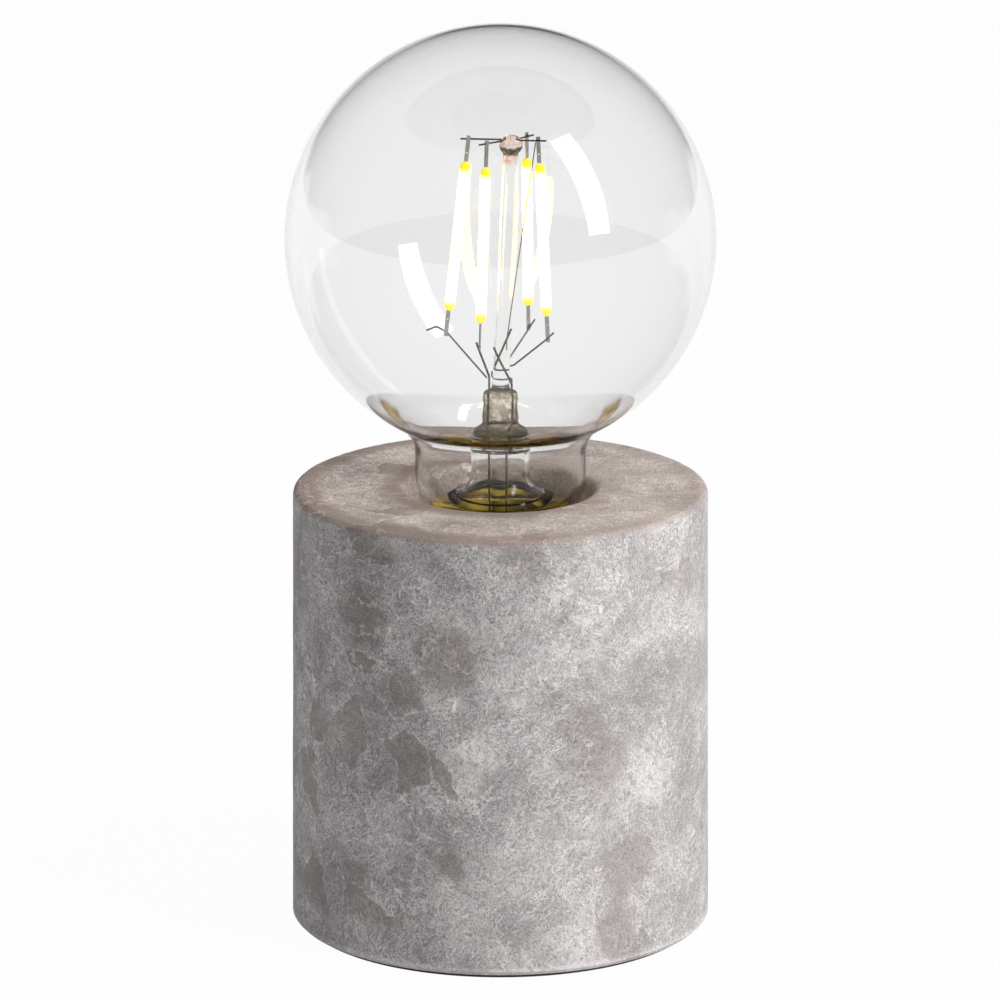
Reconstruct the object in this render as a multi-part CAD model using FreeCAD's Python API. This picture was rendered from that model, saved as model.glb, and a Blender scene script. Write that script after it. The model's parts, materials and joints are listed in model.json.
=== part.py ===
import FreeCAD, Part

import math
import os

# Bare bulb table lamp: a cast concrete cylinder with a lampholder sunk in its top,
# and a clear 95 mm globe bulb with four upright light filaments.
#
# All sizes are in millimetres. +Z is up, the front of the lamp looks along -Y, and
# the cable leaves at the back, along +Y. The origin is the centre of the underside.

Vector = FreeCAD.Vector

# ---------------------------------------------------------------- clearances
GLUE_GAP = 0.02          # between round faces that are glued, fused or crimped together
SCREW_GAP = 0.05         # radial play of a threaded or pushed-in round piece
RUNNING_GAP = 0.3        # air between the turning bulb and what stays still

# ---------------------------------------------------------------- concrete base
BODY_HEIGHT = 99.0
BODY_TOP_RADIUS = 46.0
BODY_FOOT_RADIUS = 46.7
BODY_RIM_ROUND = 1.5
BODY_FOOT_CHAMFER = 1.0
BORE_RADIUS = 20.5
BORE_LIP_ROUND = 2.0
BORE_FLOOR_ROUND = 1.0
WEB_THICKNESS = 10.0
CAVITY_MOUTH_RADIUS = 30.0
CAVITY_DRAFT = 1.2
CAVITY_DEPTH = 25.0
CAVITY_ROOF_ROUND = 3.0
PAD_THICKNESS = 1.0
PAD_INSET = 1.6

# ---------------------------------------------------------------- cable inlet
CABLE_HOLE_HEIGHT = 8.0      # above the underside of the concrete
GROMMET_BORE_RADIUS = 3.25
GROMMET_WALL = 1.5
GROMMET_HEAD_RADIUS = 6.6
GROMMET_HEAD_THICKNESS = 1.8
GROMMET_LENGTH = 13.0
GROMMET_HEAD_ROUND = 0.6
SPOT_FACE_DEPTH = 1.3        # flat round seat for the head in the curved wall

# ---------------------------------------------------------------- nipple and nut
NIPPLE_RADIUS = 5.0
NIPPLE_BORE_RADIUS = 3.6
NIPPLE_BELOW_NUT = 1.5
NIPPLE_IN_DOME = 6.0
NIPPLE_HOLE_PLAY = 0.25
NUT_ACROSS_FLATS = 14.0
NUT_HEIGHT = 3.0
NUT_CHAMFER = 0.5
WASHER_RADIUS = 9.0
WASHER_THICKNESS = 1.0

# ---------------------------------------------------------------- lampholder
HOLDER_RADIUS = 19.5
HOLDER_WALL = 1.3
DOME_BOSS_RADIUS = 10.0
DOME_BOSS_HEIGHT = 7.5
DOME_SPIGOT_HEIGHT = 5.0
GRUB_SCREW_RADIUS = 1.5
GRUB_SCREW_SLOT = 0.5
SHELL_LENGTH = 38.0
SHELL_MOUTH_RADIUS = 16.0
SHELL_MOUTH_THICKNESS = 1.6
SHELL_EDGE_ROUND = 0.5
INSERT_FLANGE_THICKNESS = 3.0
INSERT_TOP_STEP = 2.0
INSERT_STEP_INSET = 1.2
INSERT_BOSS_DEPTH = 5.0
INSERT_BOSS_INSET = 0.8
SOCKET_WALL = 0.5
SOCKET_HEIGHT = 20.0
SOCKET_FLANGE = 2.4
TONGUE_WIDTH = 6.0
TONGUE_THICKNESS = 0.5
TONGUE_RISE = 2.0
TONGUE_OVERHANG = 4.0
TONGUE_FLAT_START = 2.3      # from the lamp's axis to the top of the tongue's ramp
TONGUE_SCREW_OFFSET = 8.5
CONTACT_SCREW_RADIUS = 1.3
CONTACT_SCREW_HEAD_RADIUS = 2.3
CONTACT_SCREW_HEAD_HEIGHT = 1.5
TERMINAL_SIZE = 6.5
TERMINAL_HEIGHT = 5.5
TERMINAL_WIRE_HOLE_RADIUS = 1.3
TERMINAL_HOLE_HEIGHT = 1.7   # from a block's underside to the middle of its wire hole
TERMINAL_SCREW_RADIUS = 1.4

# ---------------------------------------------------------------- bulb cap
CAP_LENGTH = 26.8
CAP_RADIUS = 13.0
CAP_WALL = 0.4
CAP_SKIRT_STEP = 0.3
CAP_SKIRT_LENGTH = 7.0
CAP_RIM_FLARE = 0.6
CAP_RIM_LENGTH = 1.2
CAP_SHOULDER_ROUND = 1.8
CAP_FLOOR_HEIGHT = 5.4       # from the contact's tip to the cap's turned-in floor
CAP_FLOOR_RADIUS = 9.6       # where the turned-in floor grips the black glass
CONTACT_RADIUS = 4.6
CONTACT_HEIGHT = 1.5
CONTACT_ROUND = 0.8
CONTACT_PROUD = 0.9          # how far the contact stands out of the black glass
BLACK_GLASS_TIP_RADIUS = 6.0
BLACK_GLASS_TOP = 0.8        # how far the black glass reaches into the cap
CENTRE_WIRE_HOLE_RADIUS = 0.8

# ---------------------------------------------------------------- glass globe
BULB_LENGTH = 138.0
GLOBE_RADIUS = 47.5
GLASS_WALL = 0.7
NECK_FOOT_RADIUS = 18.8
NECK_FLARE_DEGREES = 1.0
NECK_FILLET = 8.0            # where the neck opens into the globe
NECK_ABOVE_CAP = 3.4         # from the cap's rim up to the neck's rounded shoulder
TAIL_RADIUS = 12.0
TAIL_LEDGE = 0.1
TAIL_LENGTH = 12.0
CEMENT_LENGTH = 6.0

# ---------------------------------------------------------------- glass stem
STEM_TUBE_RADIUS = 6.5
STEM_TUBE_WALL = 1.0
STEM_FLARE_THICKNESS = 0.8
STEM_FLARE_HEIGHT = 9.0
STEM_TUBE_TOP = 27.8         # above the bottom edge of the globe's tail
PINCH_WIDTH = 7.6
PINCH_DEPTH = 3.8
PINCH_HEIGHT = 7.4
PINCH_SHOULDER_HEIGHT = 3.0
PINCH_ROUND = 0.6
EXHAUST_RADIUS = 2.0
EXHAUST_WALL = 0.6
EXHAUST_TAIL = 5.0           # how far the sealed tip stops above the tail's edge
ROD_RADIUS = 1.8
ROD_LENGTH = 55.3
ROD_LEAN_DEGREES = 2.4
BUTTON_RADIUS = 2.4

# ---------------------------------------------------------------- light filaments
FILAMENT_RADIUS = 1.15
FILAMENT_LENGTH = 34.6
FILAMENT_END_ROUND = 0.6
TAB_LENGTH = 5.8
TAB_TIP = 0.8                # how far a tab pokes past the wire that is welded to it
TAB_WIDTH = 0.9
TAB_THICKNESS = 0.3
TAB_HOLE_RADIUS = 0.2
TAB_HOLE_DISTANCE = 1.9      # from the filament's end to the middle of the tab's hole
WIRE_RADIUS = 0.2
LEAD_RADIUS = 0.25
JUMPER_RADIUS = 0.12
WIRE_BEND = 1.0
LOOP_BEND = 0.6
WELD_GAP = 0.06              # between two wires, or a wire and a tab, where they are welded
ARM_RISE = 1.2               # how far the arms stand over the button's middle
ARM_ROOT = 0.9               # how far from the button's middle an arm starts
ARM_OVERHANG = 1.8           # how far an arm passes the filament that it holds

# Where the top end of each filament stands, counted from the button, and how far its
# foot is splayed out from there.
LEFT_TOP_X = -9.9
LEFT_TOP_Y = 1.0
LEFT_SPLAY_X = -3.9
LEFT_SPLAY_Y = 1.7
FRONT_TOP_X = -5.5
FRONT_TOP_Y = -4.8
FRONT_SPLAY_X = -1.2
FRONT_SPLAY_Y = -4.2
REAR_TOP_X = 3.5
REAR_TOP_Y = 4.4
REAR_SPLAY_X = 0.35
REAR_SPLAY_Y = 3.3
RIGHT_TOP_X = 6.2
RIGHT_TOP_Y = -0.6
RIGHT_SPLAY_X = 1.7
RIGHT_SPLAY_Y = -0.9

# ---------------------------------------------------------------- leads and links
LEAD_SPACING = 5.0           # between the two leads where they leave the pinch
LEAD_OFFSET_BELOW = 1.2      # how much nearer the right lead stands in the stem's tube
LEAD_IN_FRONT = 2.35         # how far the right lead passes in front of the exhaust tube
BESIDE_ROD_X = 1.9           # where the right lead passes the foot of the rod
BESIDE_ROD_Y = -1.9
LEAD_BEND_HEIGHT = 2.9       # from the pinch up to the first bend of a lead
CROSSING_HEIGHT = 7.8        # from the pinch up to where two wires cross before the rod
CROSSING_X = -0.5
CROSSING_IN_FRONT = 2.6
STUB_RISE = 2.4
STUB_LENGTH = 1.0
CROSS_WIRE_DROP = 1.7
CROSS_WIRE_RISE = 6.7
CROSS_WIRE_SLOPE = 0.43      # sideways run of the cross wire for each unit of rise
JUMPER_WELD_RISE = 4.4       # from the crossing up to the jumper's lower weld
JUMPER_ARM_SHARE = 0.66      # where along the right arm the jumper starts
JUMPER_TAIL = 2.4
LEFT_STUB_LENGTH = 4.7
LEFT_STUB_KINK = 1.1
LINK_STUB_LENGTH = 1.6
LOOP_HEIGHT = 1.9            # from the pinch up to the loop behind the rod
LOOP_WIDTH = 1.9             # how far the loop reaches past the rod's middle
LOOP_PITCH = 1.5
LOOP_END_X = 3.0

# ---------------------------------------------------------------- driver in the cap
BOARD_WIDTH = 15.0
BOARD_HEIGHT = 9.5
BOARD_THICKNESS = 0.8
CAPACITOR_RADIUS = 2.4
CAPACITOR_LENGTH = 7.0
RECTIFIER_SIZE = Vector(4.8, 2.0, 4.0)
CHIP_SIZE = Vector(5.0, 1.5, 4.0)
PART_SPACING = 1.2

# ---------------------------------------------------------------- heights worked out
body_foot = PAD_THICKNESS
body_top = body_foot + BODY_HEIGHT
cavity_roof = body_foot + CAVITY_DEPTH
web_top = cavity_roof + WEB_THICKNESS
dome_top = web_top + DOME_BOSS_HEIGHT + HOLDER_RADIUS - DOME_BOSS_RADIUS
insert_foot = dome_top + DOME_SPIGOT_HEIGHT
flange_top = insert_foot + INSERT_FLANGE_THICKNESS
insert_top = flange_top + INSERT_TOP_STEP
shell_top = dome_top + SHELL_LENGTH
tongue_top = insert_top + TONGUE_RISE + TONGUE_THICKNESS
cap_tip = tongue_top + RUNNING_GAP
cap_floor = cap_tip + CAP_FLOOR_HEIGHT
cap_rim = cap_tip + CAP_LENGTH
neck_foot = cap_rim + NECK_ABOVE_CAP
globe_centre = cap_tip + BULB_LENGTH - GLOBE_RADIUS
tail_foot = neck_foot - TAIL_LENGTH
pinch_foot = tail_foot + STEM_TUBE_TOP
pinch_top = pinch_foot + PINCH_SHOULDER_HEIGHT + PINCH_HEIGHT

# ---------------------------------------------------------------- radii worked out
shell_bore = HOLDER_RADIUS - HOLDER_WALL
spigot_radius = shell_bore - SCREW_GAP
spigot_bore = spigot_radius - HOLDER_WALL
insert_step_radius = spigot_radius - INSERT_STEP_INSET
insert_boss_radius = spigot_bore - INSERT_BOSS_INSET
socket_bore = CAP_RADIUS + RUNNING_GAP
socket_radius = socket_bore + SOCKET_WALL
skirt_radius = CAP_RADIUS + CAP_SKIRT_STEP
grommet_radius = GROMMET_BORE_RADIUS + GROMMET_WALL
tail_bore = TAIL_RADIUS - GLASS_WALL
neck_shoulder_round = NECK_FOOT_RADIUS - TAIL_RADIUS - TAIL_LEDGE

AXIS = Vector(0, 0, 1)
BACKWARDS = Vector(0, 1, 0)
ORIGIN = Vector(0, 0, 0)
SAME_PLACE = 1e-4            # two lengths this close are taken as one


# ---------------------------------------------------------------- helpers
def at(radius, height):
    """A point of a turned profile, in the XZ plane."""
    return Vector(radius, 0, height)


def line(start, end):
    return Part.LineSegment(start, end).toShape()


def arc(start, centre, end):
    """The shorter arc from start to end about centre."""
    radius = (start - centre).Length
    middle = (start - centre).normalize() + (end - centre).normalize()
    return Part.Arc(start, centre + middle.normalize() * radius, end).toShape()


def outline(points):
    """A closed outline with straight sides."""
    return Part.makePolygon(points + points[:1])


def turned(profile):
    """A solid turned about the lamp's axis from a closed outline in the XZ plane."""
    wire = profile if isinstance(profile, Part.Wire) else Part.Wire(profile)
    solid = Part.Face(wire).revolve(ORIGIN, AXIS, 360)
    return forward(solid)


def forward(solid):
    """The solid with its faces turned outwards."""
    if solid.Volume < 0:
        solid.reverse()
    return solid


def tube(outer, inner, foot, top):
    """A plain tube on the lamp's axis."""
    return turned(outline([at(inner, foot), at(outer, foot), at(outer, top), at(inner, top)]))


def rounded(solid, radius, is_edge):
    """The solid with a round on each edge for which is_edge is true."""
    edges = [edge for edge in solid.Edges if is_edge(edge)]
    return solid.makeFillet(radius, edges)


def circle_at(height, radius):
    """A test for a circular edge at a height of the lamp's axis, with a radius."""
    def is_circle(edge):
        curve = edge.Curve
        return (
            isinstance(curve, Part.Circle)
            and abs(curve.Center.z - height) < SAME_PLACE
            and abs(curve.Radius - radius) < SAME_PLACE
        )
    return is_circle


def block(centre, size):
    """A box by its centre and its size along X, Y and Z."""
    return Part.makeBox(size.x, size.y, size.z, centre - size * 0.5)


def bent_path(points, bend):
    """Straight runs joined by tangent arcs of one radius."""
    edges = []
    start = points[0]
    for before, corner, after in zip(points, points[1:], points[2:]):
        incoming = (corner - before).normalize()
        outgoing = (after - corner).normalize()
        half_turn = incoming.getAngle(outgoing) / 2
        set_back = bend * math.tan(half_turn)
        inward = (outgoing - incoming).normalize()
        first = corner - incoming * set_back
        last = corner + outgoing * set_back
        middle = corner + inward * (bend / math.cos(half_turn) - bend)
        edges.append(line(start, first))
        edges.append(Part.Arc(first, middle, last).toShape())
        start = last
    edges.append(line(start, points[-1]))
    return Part.Wire(edges)


def wire_along(points, radius, bend=WIRE_BEND):
    """A round wire whose middle line is the bent path through the points."""
    section = Part.Wire(Part.makeCircle(radius, points[0], points[1] - points[0]))
    return forward(bent_path(points, bend).makePipeShell([section], True, True))


# ---------------------------------------------------------------- base pieces
def cable_axis_height():
    return body_foot + CABLE_HOLE_HEIGHT


def body_radius_at(height):
    """The drafted outer wall's radius at a height."""
    share = (height - body_foot) / BODY_HEIGHT
    return BODY_FOOT_RADIUS + (BODY_TOP_RADIUS - BODY_FOOT_RADIUS) * share


def spot_face_y():
    """How far back the grommet's flat seat lies."""
    return body_radius_at(cable_axis_height()) - SPOT_FACE_DEPTH


def concrete_body():
    """Cast cylinder with the lampholder's bore, a thin web and the cable cavity below."""
    chamfer = BODY_FOOT_CHAMFER
    cavity_roof_radius = CAVITY_MOUTH_RADIUS - CAVITY_DRAFT
    nipple_hole = NIPPLE_RADIUS + NIPPLE_HOLE_PLAY
    block_of_concrete = turned(outline([
        at(CAVITY_MOUTH_RADIUS, body_foot),
        at(BODY_FOOT_RADIUS - chamfer, body_foot),
        at(body_radius_at(body_foot + chamfer), body_foot + chamfer),
        at(BODY_TOP_RADIUS, body_top),
        at(BORE_RADIUS, body_top),
        at(BORE_RADIUS, web_top),
        at(nipple_hole, web_top),
        at(nipple_hole, cavity_roof),
        at(cavity_roof_radius, cavity_roof),
    ]))
    body = rounded(block_of_concrete, BODY_RIM_ROUND, circle_at(body_top, BODY_TOP_RADIUS))
    body = rounded(body, BORE_LIP_ROUND, circle_at(body_top, BORE_RADIUS))
    body = rounded(body, BORE_FLOOR_ROUND, circle_at(web_top, BORE_RADIUS))
    body = rounded(body, CAVITY_ROOF_ROUND, circle_at(cavity_roof, cavity_roof_radius))
    height = cable_axis_height()
    cable_hole = Part.makeCylinder(
        grommet_radius + SCREW_GAP, BODY_FOOT_RADIUS, Vector(0, 0, height), BACKWARDS
    )
    seat_start = Vector(0, spot_face_y(), height)
    seat = Part.makeCylinder(
        GROMMET_HEAD_RADIUS + SCREW_GAP, BODY_FOOT_RADIUS, seat_start, BACKWARDS
    )
    return body.cut(cable_hole).cut(seat)


def base_pad():
    """Soft disc glued under the concrete, which closes the cavity."""
    radius = BODY_FOOT_RADIUS - BODY_FOOT_CHAMFER - PAD_INSET
    return Part.makeCylinder(radius, PAD_THICKNESS)


def cable_grommet():
    """Flanged rubber sleeve in the cable hole at the back."""
    head_back = spot_face_y()
    height = cable_axis_height()
    start = Vector(0, head_back - GROMMET_LENGTH, height)
    sleeve = Part.makeCylinder(grommet_radius, GROMMET_LENGTH, start, BACKWARDS)
    head = Part.makeCylinder(
        GROMMET_HEAD_RADIUS,
        GROMMET_HEAD_THICKNESS,
        Vector(0, head_back, height),
        BACKWARDS,
    )
    outer_face_y = head_back + GROMMET_HEAD_THICKNESS
    head = rounded(head, GROMMET_HEAD_ROUND, lambda edge: (
        isinstance(edge.Curve, Part.Circle) and abs(edge.Curve.Center.y - outer_face_y) < SAME_PLACE
    ))
    bore = Part.makeCylinder(
        GROMMET_BORE_RADIUS, 2 * GROMMET_LENGTH, start - BACKWARDS, BACKWARDS
    )
    return sleeve.fuse(head).removeSplitter().cut(bore)


def nut_foot():
    return cavity_roof - WASHER_THICKNESS - NUT_HEIGHT


def threaded_nipple():
    """Hollow rod that ties the lampholder to the web of concrete."""
    foot = nut_foot() - NIPPLE_BELOW_NUT
    return tube(NIPPLE_RADIUS, NIPPLE_BORE_RADIUS, foot, web_top + NIPPLE_IN_DOME)


def nipple_washer():
    hole = NIPPLE_RADIUS + NIPPLE_HOLE_PLAY
    return tube(WASHER_RADIUS, hole, cavity_roof - WASHER_THICKNESS, cavity_roof)


def nipple_nut():
    """Thin hexagon nut with its corners chamfered."""
    corner_radius = NUT_ACROSS_FLATS / 2 / math.cos(math.pi / 6)
    foot = nut_foot()
    corners = [
        Vector(
            corner_radius * math.cos(math.pi / 3 * side),
            corner_radius * math.sin(math.pi / 3 * side),
            foot,
        )
        for side in range(6)
    ]
    hexagon = Part.Face(outline(corners)).extrude(AXIS * NUT_HEIGHT)
    flat_radius = corner_radius - NUT_CHAMFER
    turned_blank = turned(outline([
        at(NIPPLE_RADIUS + SCREW_GAP, foot),
        at(flat_radius, foot),
        at(corner_radius, foot + NUT_CHAMFER),
        at(corner_radius, foot + NUT_HEIGHT - NUT_CHAMFER),
        at(flat_radius, foot + NUT_HEIGHT),
        at(NIPPLE_RADIUS + SCREW_GAP, foot + NUT_HEIGHT),
    ]))
    return hexagon.common(turned_blank)


# ---------------------------------------------------------------- lampholder pieces
def grub_screw_height():
    return web_top + DOME_BOSS_HEIGHT / 2


def holder_dome():
    """Lower half of the lampholder: threaded boss, round shoulder and screw spigot."""
    hole = NIPPLE_RADIUS + SCREW_GAP
    centre = at(DOME_BOSS_RADIUS, dome_top)
    outer_round = HOLDER_RADIUS - DOME_BOSS_RADIUS
    inner_round = outer_round - HOLDER_WALL
    spigot_reach = spigot_bore - DOME_BOSS_RADIUS
    spigot_foot = at(spigot_bore, dome_top - math.sqrt(inner_round ** 2 - spigot_reach ** 2))
    shoulder_foot = centre - AXIS * outer_round
    shoulder_end = at(HOLDER_RADIUS, dome_top)
    floor_edge = centre - AXIS * inner_round
    floor_hole = at(hole, floor_edge.z)
    boss_foot = at(DOME_BOSS_RADIUS, web_top)
    hole_foot = at(hole, web_top)
    dome = turned([
        line(hole_foot, boss_foot),
        line(boss_foot, shoulder_foot),
        arc(shoulder_foot, centre, shoulder_end),
        line(shoulder_end, at(spigot_radius, dome_top)),
        line(at(spigot_radius, dome_top), at(spigot_radius, insert_foot)),
        line(at(spigot_radius, insert_foot), at(spigot_bore, insert_foot)),
        line(at(spigot_bore, insert_foot), spigot_foot),
        arc(spigot_foot, centre, floor_edge),
        line(floor_edge, floor_hole),
        line(floor_hole, hole_foot),
    ])
    screw_hole = Part.makeCylinder(
        GRUB_SCREW_RADIUS + GLUE_GAP,
        DOME_BOSS_RADIUS,
        Vector(0, 0, grub_screw_height()),
        BACKWARDS,
    )
    return dome.cut(screw_hole)


def dome_grub_screw():
    """Headless screw that stops the dome from turning on the nipple."""
    start = NIPPLE_RADIUS + GLUE_GAP
    length = DOME_BOSS_RADIUS - start - GRUB_SCREW_SLOT
    height = grub_screw_height()
    screw = Part.makeCylinder(
        GRUB_SCREW_RADIUS, length, Vector(0, start, height), BACKWARDS
    )
    nipple_room = Part.makeCylinder(
        start, 4 * GRUB_SCREW_RADIUS, Vector(0, 0, height - 2 * GRUB_SCREW_RADIUS)
    )
    slot_size = Vector(2 * GRUB_SCREW_RADIUS, 2 * GRUB_SCREW_SLOT, GRUB_SCREW_SLOT)
    slot = block(Vector(0, start + length, height), slot_size)
    return screw.cut(nipple_room).cut(slot)


def holder_shell():
    """Upper sleeve: it screws on the dome's spigot and clamps the porcelain's flange."""
    ledge_radius = insert_step_radius + SCREW_GAP
    mouth_foot = shell_top - SHELL_MOUTH_THICKNESS
    sleeve_bore = max(ledge_radius, SHELL_MOUTH_RADIUS)
    shell = turned(outline([
        at(shell_bore, dome_top),
        at(HOLDER_RADIUS, dome_top),
        at(HOLDER_RADIUS, shell_top),
        at(SHELL_MOUTH_RADIUS, shell_top),
        at(SHELL_MOUTH_RADIUS, mouth_foot),
        at(sleeve_bore, mouth_foot),
        at(sleeve_bore, flange_top),
        at(shell_bore, flange_top),
    ]))
    shell = rounded(shell, SHELL_EDGE_ROUND, circle_at(shell_top, HOLDER_RADIUS))
    return rounded(shell, SHELL_EDGE_ROUND, circle_at(shell_top, SHELL_MOUTH_RADIUS))


def porcelain_insert():
    """Insulating block that carries the socket and the two terminals."""
    insert = turned(outline([
        at(0, insert_foot - INSERT_BOSS_DEPTH),
        at(insert_boss_radius, insert_foot - INSERT_BOSS_DEPTH),
        at(insert_boss_radius, insert_foot),
        at(spigot_radius, insert_foot),
        at(spigot_radius, flange_top),
        at(insert_step_radius, flange_top),
        at(insert_step_radius, insert_top),
        at(0, insert_top),
    ]))
    for screw_x in (TONGUE_SCREW_OFFSET, socket_screw_x()):
        insert = insert.cut(Part.makeCylinder(
            CONTACT_SCREW_RADIUS + SCREW_GAP,
            insert_top - insert_foot + INSERT_BOSS_DEPTH,
            Vector(screw_x, 0, insert_foot - INSERT_BOSS_DEPTH),
        ))
    return insert


def socket_screw_x():
    """Screw that ties the socket's inner lug to the second terminal."""
    return -TONGUE_SCREW_OFFSET


def screw_socket():
    """Thin brass sleeve that takes the bulb's cap, with a foot flange and a screw lug."""
    flange_radius = min(socket_radius + SOCKET_FLANGE, insert_step_radius)
    sleeve = turned(outline([
        at(socket_bore, insert_top),
        at(flange_radius, insert_top),
        at(flange_radius, insert_top + SOCKET_WALL),
        at(socket_radius, insert_top + SOCKET_WALL),
        at(socket_radius, insert_top + SOCKET_HEIGHT),
        at(socket_bore, insert_top + SOCKET_HEIGHT),
    ]))
    lug_end = socket_screw_x() + CONTACT_SCREW_HEAD_RADIUS
    lug_start = -socket_bore - SOCKET_WALL / 2
    lug = Part.makeBox(
        lug_end - lug_start,
        TONGUE_WIDTH,
        SOCKET_WALL,
        Vector(lug_start, -TONGUE_WIDTH / 2, insert_top),
    )
    hole = Part.makeCylinder(
        CONTACT_SCREW_RADIUS + SCREW_GAP, SOCKET_WALL, Vector(socket_screw_x(), 0, insert_top)
    )
    return sleeve.fuse(lug).removeSplitter().cut(hole)


def contact_tongue():
    """Springy brass strip that presses on the bulb's centre contact."""
    root_end = TONGUE_SCREW_OFFSET + CONTACT_SCREW_HEAD_RADIUS
    root_start = TONGUE_SCREW_OFFSET - CONTACT_SCREW_HEAD_RADIUS
    thickness = TONGUE_THICKNESS
    low = insert_top
    high = tongue_top - thickness
    side_view = [
        Vector(root_end, 0, low),
        Vector(root_end, 0, low + thickness),
        Vector(root_start, 0, low + thickness),
        Vector(TONGUE_FLAT_START, 0, high + thickness),
        Vector(-TONGUE_OVERHANG, 0, high + thickness),
        Vector(-TONGUE_OVERHANG, 0, high),
        Vector(TONGUE_FLAT_START, 0, high),
        Vector(root_start, 0, low),
    ]
    strip = Part.Face(outline(side_view)).extrude(Vector(0, TONGUE_WIDTH, 0))
    strip.translate(Vector(0, -TONGUE_WIDTH / 2, 0))
    hole = Part.makeCylinder(
        CONTACT_SCREW_RADIUS + SCREW_GAP, thickness, Vector(TONGUE_SCREW_OFFSET, 0, low)
    )
    return forward(strip).cut(hole)


def contact_screws():
    """Two screws through the porcelain: one for the tongue, one for the socket's lug."""
    foot = insert_foot - INSERT_BOSS_DEPTH - TERMINAL_HEIGHT / 2
    screws = []
    seats = ((TONGUE_SCREW_OFFSET, TONGUE_THICKNESS), (socket_screw_x(), SOCKET_WALL))
    for screw_x, seat_thickness in seats:
        seat = insert_top + seat_thickness
        shank = Part.makeCylinder(CONTACT_SCREW_RADIUS, seat - foot, Vector(screw_x, 0, foot))
        head = Part.makeCylinder(
            CONTACT_SCREW_HEAD_RADIUS, CONTACT_SCREW_HEAD_HEIGHT, Vector(screw_x, 0, seat)
        )
        screws.append(shank.fuse(head).removeSplitter())
    return Part.makeCompound(screws)


def terminal_top():
    return insert_foot - INSERT_BOSS_DEPTH


def terminal_blocks():
    """Two brass blocks under the porcelain, each with a cross hole for a wire."""
    blocks = []
    for screw_x in (TONGUE_SCREW_OFFSET, socket_screw_x()):
        centre = Vector(screw_x, 0, terminal_top() - TERMINAL_HEIGHT / 2)
        body = block(centre, Vector(TERMINAL_SIZE, TERMINAL_SIZE, TERMINAL_HEIGHT))
        shank_hole = Part.makeCylinder(
            CONTACT_SCREW_RADIUS + GLUE_GAP,
            TERMINAL_HEIGHT / 2,
            Vector(screw_x, 0, terminal_top() - TERMINAL_HEIGHT / 2),
        )
        outward = math.copysign(1, screw_x)
        wire_hole = Part.makeCylinder(
            TERMINAL_WIRE_HOLE_RADIUS,
            TERMINAL_SIZE,
            Vector(
                screw_x,
                -TERMINAL_SIZE / 2,
                terminal_screw_height(),
            ),
            BACKWARDS,
        )
        screw_hole = Part.makeCylinder(
            TERMINAL_SCREW_RADIUS + GLUE_GAP,
            TERMINAL_SIZE / 2,
            Vector(screw_x, 0, terminal_screw_height()),
            Vector(outward, 0, 0),
        )
        blocks.append(body.cut(shank_hole).cut(wire_hole).cut(screw_hole))
    return Part.makeCompound(blocks)


def terminal_screw_height():
    return terminal_top() - TERMINAL_HEIGHT + TERMINAL_HOLE_HEIGHT


def terminal_screws():
    """Two small screws that pinch the wires in the blocks from the outer sides."""
    screws = []
    for screw_x in (TONGUE_SCREW_OFFSET, socket_screw_x()):
        outward = math.copysign(1, screw_x)
        tip = screw_x + outward * TERMINAL_WIRE_HOLE_RADIUS
        length = TERMINAL_SIZE / 2 - TERMINAL_WIRE_HOLE_RADIUS
        height = terminal_screw_height()
        screws.append(Part.makeCylinder(
            TERMINAL_SCREW_RADIUS, length, Vector(tip, 0, height), Vector(outward, 0, 0)
        ))
    return Part.makeCompound(screws)


# ---------------------------------------------------------------- bulb cap pieces
def cap_contact():
    """Round brass pad on the bulb's tip. It rides up with the bulb as that unscrews."""
    pad = Part.makeCylinder(CONTACT_RADIUS, CONTACT_HEIGHT, Vector(0, 0, cap_tip))
    return rounded(pad, CONTACT_ROUND, circle_at(cap_tip, CONTACT_RADIUS))


def black_glass():
    """Glass insulator between the cap's floor and its centre contact."""
    foot = cap_tip + CONTACT_PROUD
    roof = cap_tip + CONTACT_HEIGHT + SCREW_GAP
    pocket = CONTACT_RADIUS + SCREW_GAP
    grip = CAP_FLOOR_RADIUS - GLUE_GAP
    return turned(outline([
        at(pocket, foot),
        at(BLACK_GLASS_TIP_RADIUS, foot),
        at(grip, cap_floor - CAP_WALL),
        at(grip, cap_floor + BLACK_GLASS_TOP),
        at(CENTRE_WIRE_HOLE_RADIUS, cap_floor + BLACK_GLASS_TOP),
        at(CENTRE_WIRE_HOLE_RADIUS, roof),
        at(pocket, roof),
    ]))


def cap_shell():
    """Thin brass cap: turned-in floor, threaded barrel, smooth skirt and flared rim."""
    wall = CAP_WALL
    skirt_foot = cap_rim - CAP_SKIRT_LENGTH
    flare_foot = cap_rim - CAP_RIM_LENGTH
    outer_floor = cap_floor - wall
    shell = turned(outline([
        at(CAP_FLOOR_RADIUS, outer_floor),
        at(CAP_RADIUS, outer_floor),
        at(CAP_RADIUS, skirt_foot),
        at(skirt_radius, skirt_foot + CAP_SKIRT_STEP),
        at(skirt_radius, flare_foot),
        at(skirt_radius + CAP_RIM_FLARE, cap_rim),
        at(skirt_radius + CAP_RIM_FLARE - wall, cap_rim),
        at(skirt_radius - wall, flare_foot),
        at(skirt_radius - wall, skirt_foot + CAP_SKIRT_STEP),
        at(CAP_RADIUS - wall, skirt_foot),
        at(CAP_RADIUS - wall, cap_floor),
        at(CAP_FLOOR_RADIUS, cap_floor),
    ]))
    inner_round = CAP_SHOULDER_ROUND - wall
    shell = rounded(shell, CAP_SHOULDER_ROUND, circle_at(outer_floor, CAP_RADIUS))
    return rounded(shell, inner_round, circle_at(cap_floor, CAP_RADIUS - wall))


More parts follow.
